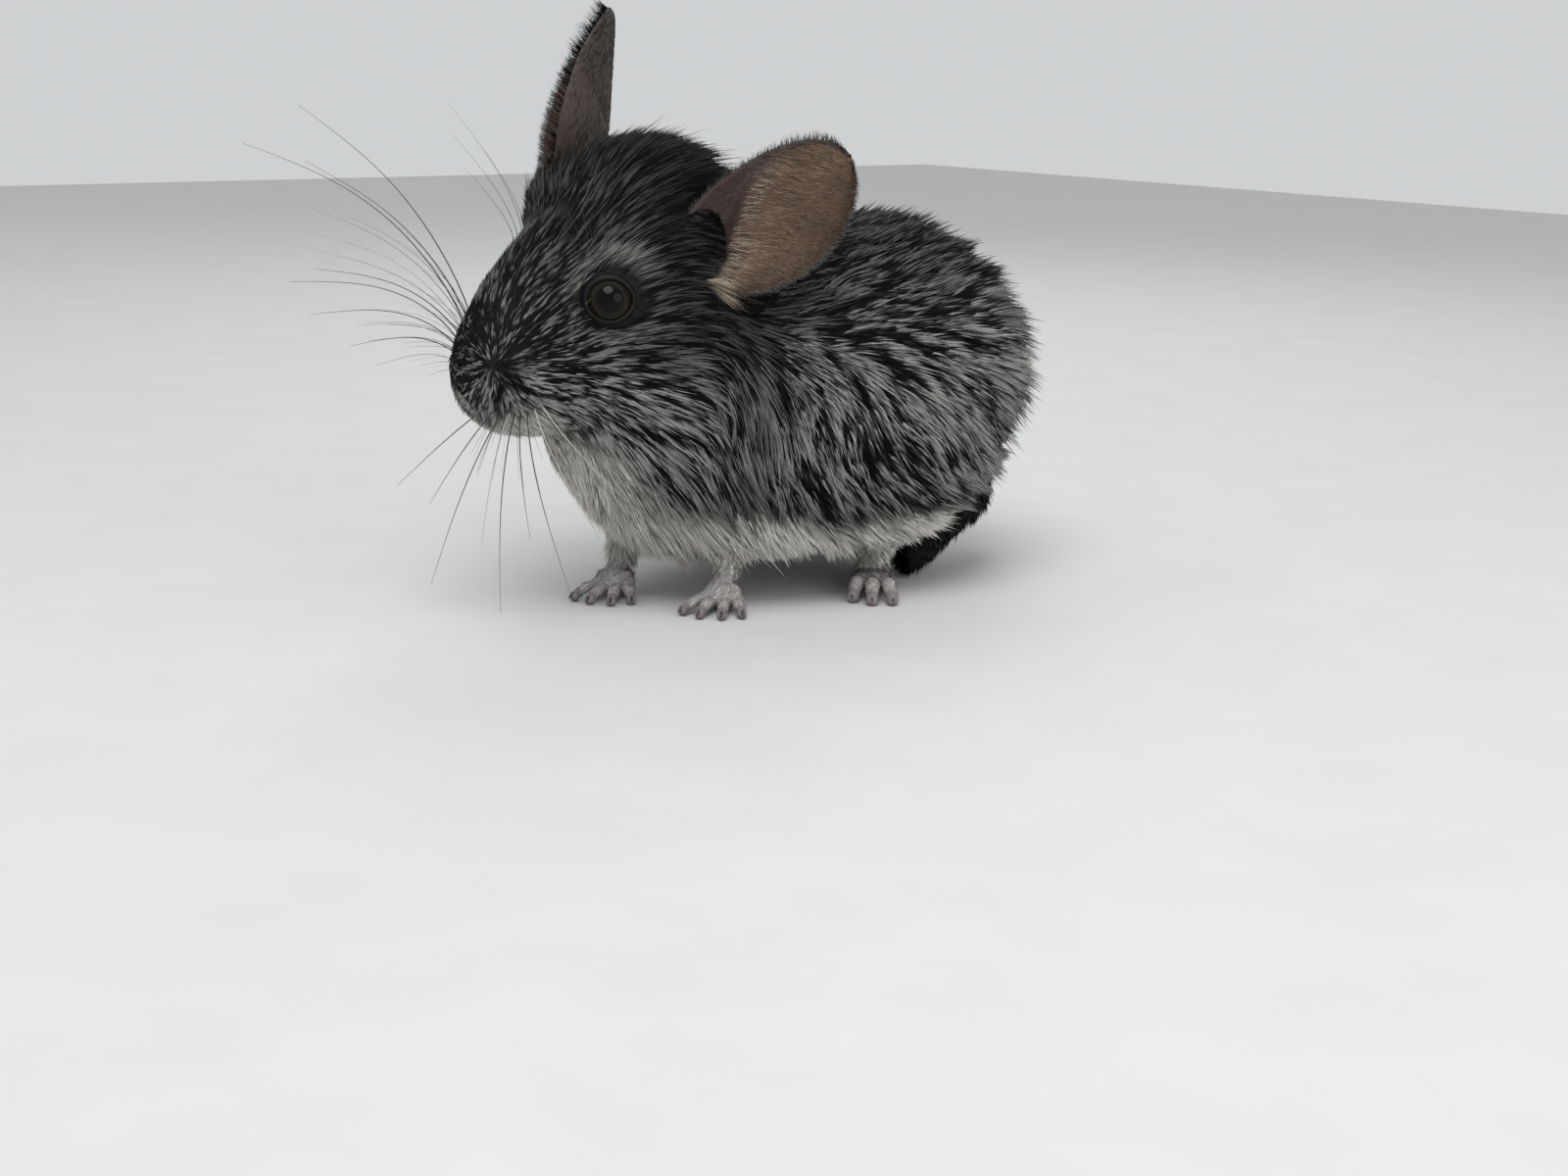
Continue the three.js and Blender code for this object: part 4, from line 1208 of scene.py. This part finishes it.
def makeFoot(kind, side, word):
    foot = feet[kind]
    paths, heel = toePaths(kind, side)

    def field(points):
        total = chainField(points, np.array([heel, paths[1][0]]), (foot["heelRadius"], 2.4))
        for toe in paths:
            back = heel * 0.35 + toe[0] * 0.65
            bones = chainField(points, np.array([back, toe[0]]), (2.0, foot["radii"][0] + 0.5))
            total = softUnion(total, bones, 1.2)
            total = softUnion(total, chainField(points, toe, foot["radii"]), 0.7)
            pad = distanceTo(points, toe[2] + (0, 0, -0.5)) - foot["radii"][2] * 1.08
            total = softUnion(total, pad, 0.5)
        return np.maximum(total, 0.05 - points[..., 2])

    def toTips(points):
        return np.min([distanceTo(points, toe[2]) for toe in paths], axis=0)

    every = np.concatenate([*paths, heel[None]])
    low, high = every.min(axis=0) - 5, every.max(axis=0) + 5
    low[2] = -1
    vertices, faces = netSurface(field, low, high, pawLook["step"])
    vertices = settle(field, vertices, 2)
    normals = unit(slopeOf(field, vertices))
    piece = makeMesh(f"{kind}Foot{word}", vertices, faces, pawMaterial)
    sole = smoothStep(-0.2, -0.7, normals[:, 2])[:, None]
    dusk = smoothStep(3.2, 1.2, toTips(vertices))[:, None]
    paint(piece, blend(blend(pawLook["skin"], pawLook["sole"], sole), pawLook["toe"], 0.65 * dusk))
    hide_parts(f"{kind}foot_{word.lower()}")

    makeClaws(kind, word, paths)

    def hairy(places):
        return pawLook["hairDensity"] * (places[:, 2] > 1.2) * (toTips(places) > 2.4)

    roots, chance = scatter(vertices, faces, hairy, 90 + side)
    normal = unit(slopeOf(field, roots))
    ahead = unit(paths[1][2] - heel)
    flow = alongSurface(ahead + 0.12 * chance.normal(size=(len(roots), 3)), normal)
    size = np.interp(toTips(roots), [2, 6, 14, 40], [0.8, 1.5, 2.6, 3.2])
    look = {
        "length": size * chance.uniform(0.8, 1.2, len(roots)),
        "width": pawLook["hairWidth"],
        "lift": np.radians(16) * chance.uniform(0.5, 1.5, len(roots)),
        "endLift": np.radians(5),
    }
    tone = chance.uniform(*pawLook["hairTone"], (len(roots), 1)) * np.array([1.0, 0.97, 0.94])
    spots = np.stack([np.arctan2(normal[:, 0], normal[:, 2]), roots @ ahead], axis=1)
    growTufts(f"{kind}FootHair{word}", roots, normal, flow, look, tone, spots)


for side, word in bothSides:
    makeFoot("fore", side, word)
    makeFoot("hind", side, word)
print("feet ready")

# Tail: a tapered tube along a path, under a brush of coarse black locks

tail = {
    "path": [
        (0, 58, 44), (-1, 67, 37), (-1.5, 72, 29), (1.2, 71.5, 21.5), (7, 65, 15.5),
        (11, 54, 11.8), (15, 43, 8.4), (18.5, 34.5, 6.4), (21, 28, 5.2),
    ],
    "radius": (5.2, 4.6, 4.0, 3.3, 2.7, 2.2, 1.8, 1.4, 0.8),
    "tone": (0.02, 0.018, 0.019),
    "hair": 6000,
    "hairWidth": 0.55,
    "hairLength": ((0.18, 0.5, 0.9, 1), (6, 8, 9, 7)),
}


def pathPoint(path, share):
    # Catmull-Rom curve through the stations of a path
    path = np.asarray(path, float)
    padded = np.concatenate([2 * path[:1] - path[1:2], path, 2 * path[-1:] - path[-2:-1]])
    spot = np.clip(share, 0, 1) * (len(path) - 1)
    i = np.minimum(spot.astype(int), len(path) - 2)
    t = (spot - i)[:, None]
    p0, p1, p2, p3 = (padded[i + k] for k in range(4))
    square = (2 * p0 - 5 * p1 + 4 * p2 - p3) * t ** 2
    cube = (3 * p1 - p0 - 3 * p2 + p3) * t ** 3
    return 0.5 * (2 * p1 + (p2 - p0) * t + square + cube)


def tubeMesh(path, radii, rings, sides):
    # A round profile carried along the curve, closed at both ends by a fan of triangles
    share = np.linspace(0, 1, rings)
    line = pathPoint(path, share)
    along = unit(np.gradient(line, axis=0))
    across = unit(np.cross(along, (0.05, 0.02, 1.0)))
    above = np.cross(across, along)
    radius = np.interp(share, np.linspace(0, 1, len(radii)), radii)
    angle = roundAngles(sides)
    ring = np.cos(angle)[None, :, None] * across[:, None] + np.sin(angle)[None, :, None] * above[:, None]
    points = (line[:, None] + radius[:, None, None] * ring).reshape(-1, 3)
    points = np.concatenate([points, line[:1], line[-1:]])
    walls = gridQuads(rings, sides, True)[:, [0, 3, 2, 1]]
    k = np.arange(sides)
    first, last = rings * sides, rings * sides + 1
    lastRing = (rings - 1) * sides
    caps = np.concatenate([
        np.stack([np.full(sides, first), (k + 1) % sides, k], axis=1),
        np.stack([np.full(sides, last), lastRing + k, lastRing + (k + 1) % sides], axis=1),
    ])
    triangles = np.concatenate([halves(walls), caps])
    middle = np.concatenate([np.repeat(line, sides, axis=0), line[:1] + along[:1], line[-1:] - along[-1:]])
    return points, turnedOut(points, triangles, middle)


def makeTail():
    points, triangles = tubeMesh(tail["path"], tail["radius"], 70, 16)
    piece = makeMesh("tailSkin", points, triangles, skinMaterial)
    paint(piece, np.tile(tail["tone"], (len(points), 1)))
    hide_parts("tail_base", "tail_brush")
    chance = np.random.default_rng(31)
    count = tail["hair"]
    share = chance.uniform(0.18, 0.99, count)
    line = pathPoint(tail["path"], share)
    beyond, before = (pathPoint(tail["path"], np.minimum(share + step, 1)) for step in (0.01, -0.01))
    along = unit(beyond - before)
    angle = chance.uniform(0, 2 * math.pi, count)
    across = unit(np.cross(along, (0.05, 0.02, 1.0)))
    normal = np.cos(angle)[:, None] * across + np.sin(angle)[:, None] * np.cross(across, along)
    radius = np.interp(share, np.linspace(0, 1, len(tail["radius"])), tail["radius"])
    roots = line + normal * radius[:, None] * 0.9
    length = np.interp(share, *tail["hairLength"]) * chance.uniform(0.75, 1.1, count)
    floorRoom = np.maximum(roots[:, 2] - 0.4, 0.2)
    lift = np.radians(26) * chance.uniform(0.6, 1.3, count)
    down = np.maximum(-normal[:, 2], 0)
    lift = np.where(down > 0.2, np.minimum(lift, floorRoom / length / np.maximum(down, 0.2)), lift)
    look = {
        "widths": (0.9, 0.85), "length": length, "width": tail["hairWidth"],
        "lift": lift, "endLift": lift * 0.6,
    }
    tone = chance.uniform(0.006, 0.035, (count, 1)) * np.array([1.0, 0.97, 1.0])
    tone = np.where(share[:, None] < 0.35, tone * 3, tone)
    growTufts("tailBrush", roots, normal, along, look, tone, np.stack([angle, share], axis=1))


makeTail()
print("tail ready")

# Whiskers: tapered hairs in a fan on each side, the left ones swept down and the right ones up

whiskerFans = {
    1: {
        "roots": ((7.6, -95.5, 60), (10.2, -90, 60)), "turn": (-10, 102), "rise": (-36, -36), "swell": -24,
        "bow": (0.05, 0.05), "bowTo": (0, -1, 0), "lengths": (36, 35, 53, 40, 56, 38, 54, 44, 45),
    },
    -1: {
        "roots": ((-8.6, -91.5, 65.5), (-8, -95.5, 60.5)), "turn": (69, 51), "rise": (46, 6), "swell": 0,
        "bow": (0.12, 0.2), "bowTo": (0, 0.3, 0.95), "lengths": (84, 72, 88, 61, 52, 56, 47, 34, 26),
    },
}
whiskerLook = {
    "radius": 0.19, "thinRadius": 0.10, "browRadius": 0.09, "thinCount": 20,
    "dark": (0.012, 0.011, 0.011), "pale": (0.5, 0.47, 0.42), "taper": (1, 0.8, 0.5, 0.22),
}
browHairs = {"root": (-13, -80, 92), "turn": (20, 60), "rise": (58, 66), "lengths": (24, 34, 42, 30)}


def whiskerLine(side, root, turn, rise, length, bow):
    # Straight ahead along the turned and raised line, plus the bow times sin(pi * t^0.8)
    turn, rise = math.radians(turn), math.radians(rise)
    level = math.cos(rise)
    ahead = np.array([side * math.sin(turn) * level, -math.cos(turn) * level, math.sin(rise)])
    t = np.linspace(0, 1, 7)[:, None]
    return np.asarray(root) + length * (ahead * t + np.asarray(bow) * np.sin(math.pi * t ** 0.8))


def whiskerPath(side, share, length, sway=0.0):
    fan = whiskerFans[side]
    root, turn, rise, bow = (blend(*fan[key], share) for key in ("roots", "turn", "rise", "bow"))
    rise = rise + fan["swell"] * math.sin(math.pi * share) + 0.6 * sway
    return whiskerLine(side, root, turn + sway, rise, length, np.array(fan["bowTo"]) * bow)


def makeWhiskers(side, word):
    chance = np.random.default_rng(200 + side)
    lengths = whiskerFans[side]["lengths"]
    last = len(lengths) - 1
    jobs = [(whiskerPath(side, n / last, length), whiskerLook["radius"]) for n, length in enumerate(lengths)]
    for n in range(whiskerLook["thinCount"]):
        share = chance.random()
        length = np.interp(share * last, range(last + 1), lengths) * chance.uniform(0.25, 0.75)
        jobs.append((whiskerPath(side, share, length, chance.uniform(-9, 9)), whiskerLook["thinRadius"]))
    for n, length in enumerate(browHairs["lengths"]):
        share = n / (len(browHairs["lengths"]) - 1)
        turn = np.interp(share, (0, 1), browHairs["turn"])
        rise = np.interp(share, (0, 1), browHairs["rise"])
        root = mirrored(browHairs["root"], -side) + np.array([0, 1.2, -0.8]) * n
        size = length * (1 if side < 0 else 0.45)
        jobs.append((whiskerLine(side, root, turn, rise, size, (0, 0.12, 0)), whiskerLook["browRadius"]))
    points, faces, tones = [], [], []
    first, rings, sides = 0, 22, 5
    for n, (path, radius) in enumerate(jobs):
        p, f = tubeMesh(path, [radius * part for part in whiskerLook["taper"]], rings, sides)
        points.append(p)
        faces.append(f + first)
        first += len(p)
        pale = n % 5 == 3 or (side > 0 and n in (7, 8))
        tone = np.array(whiskerLook["pale" if pale else "dark"])
        share = np.concatenate([np.repeat(np.linspace(0, 1, rings), sides), [0, 1]])[:, None]
        tones.append(blend(tone, tone * 0.5 + 0.06, share))
    points, faces, tones = (np.concatenate(part) for part in (points, faces, tones))
    paint(makeMesh(f"whiskers{word}", points, faces, whiskerMaterial), tones)


for side, word in bothSides:
    makeWhiskers(side, word)
print("whiskers ready")
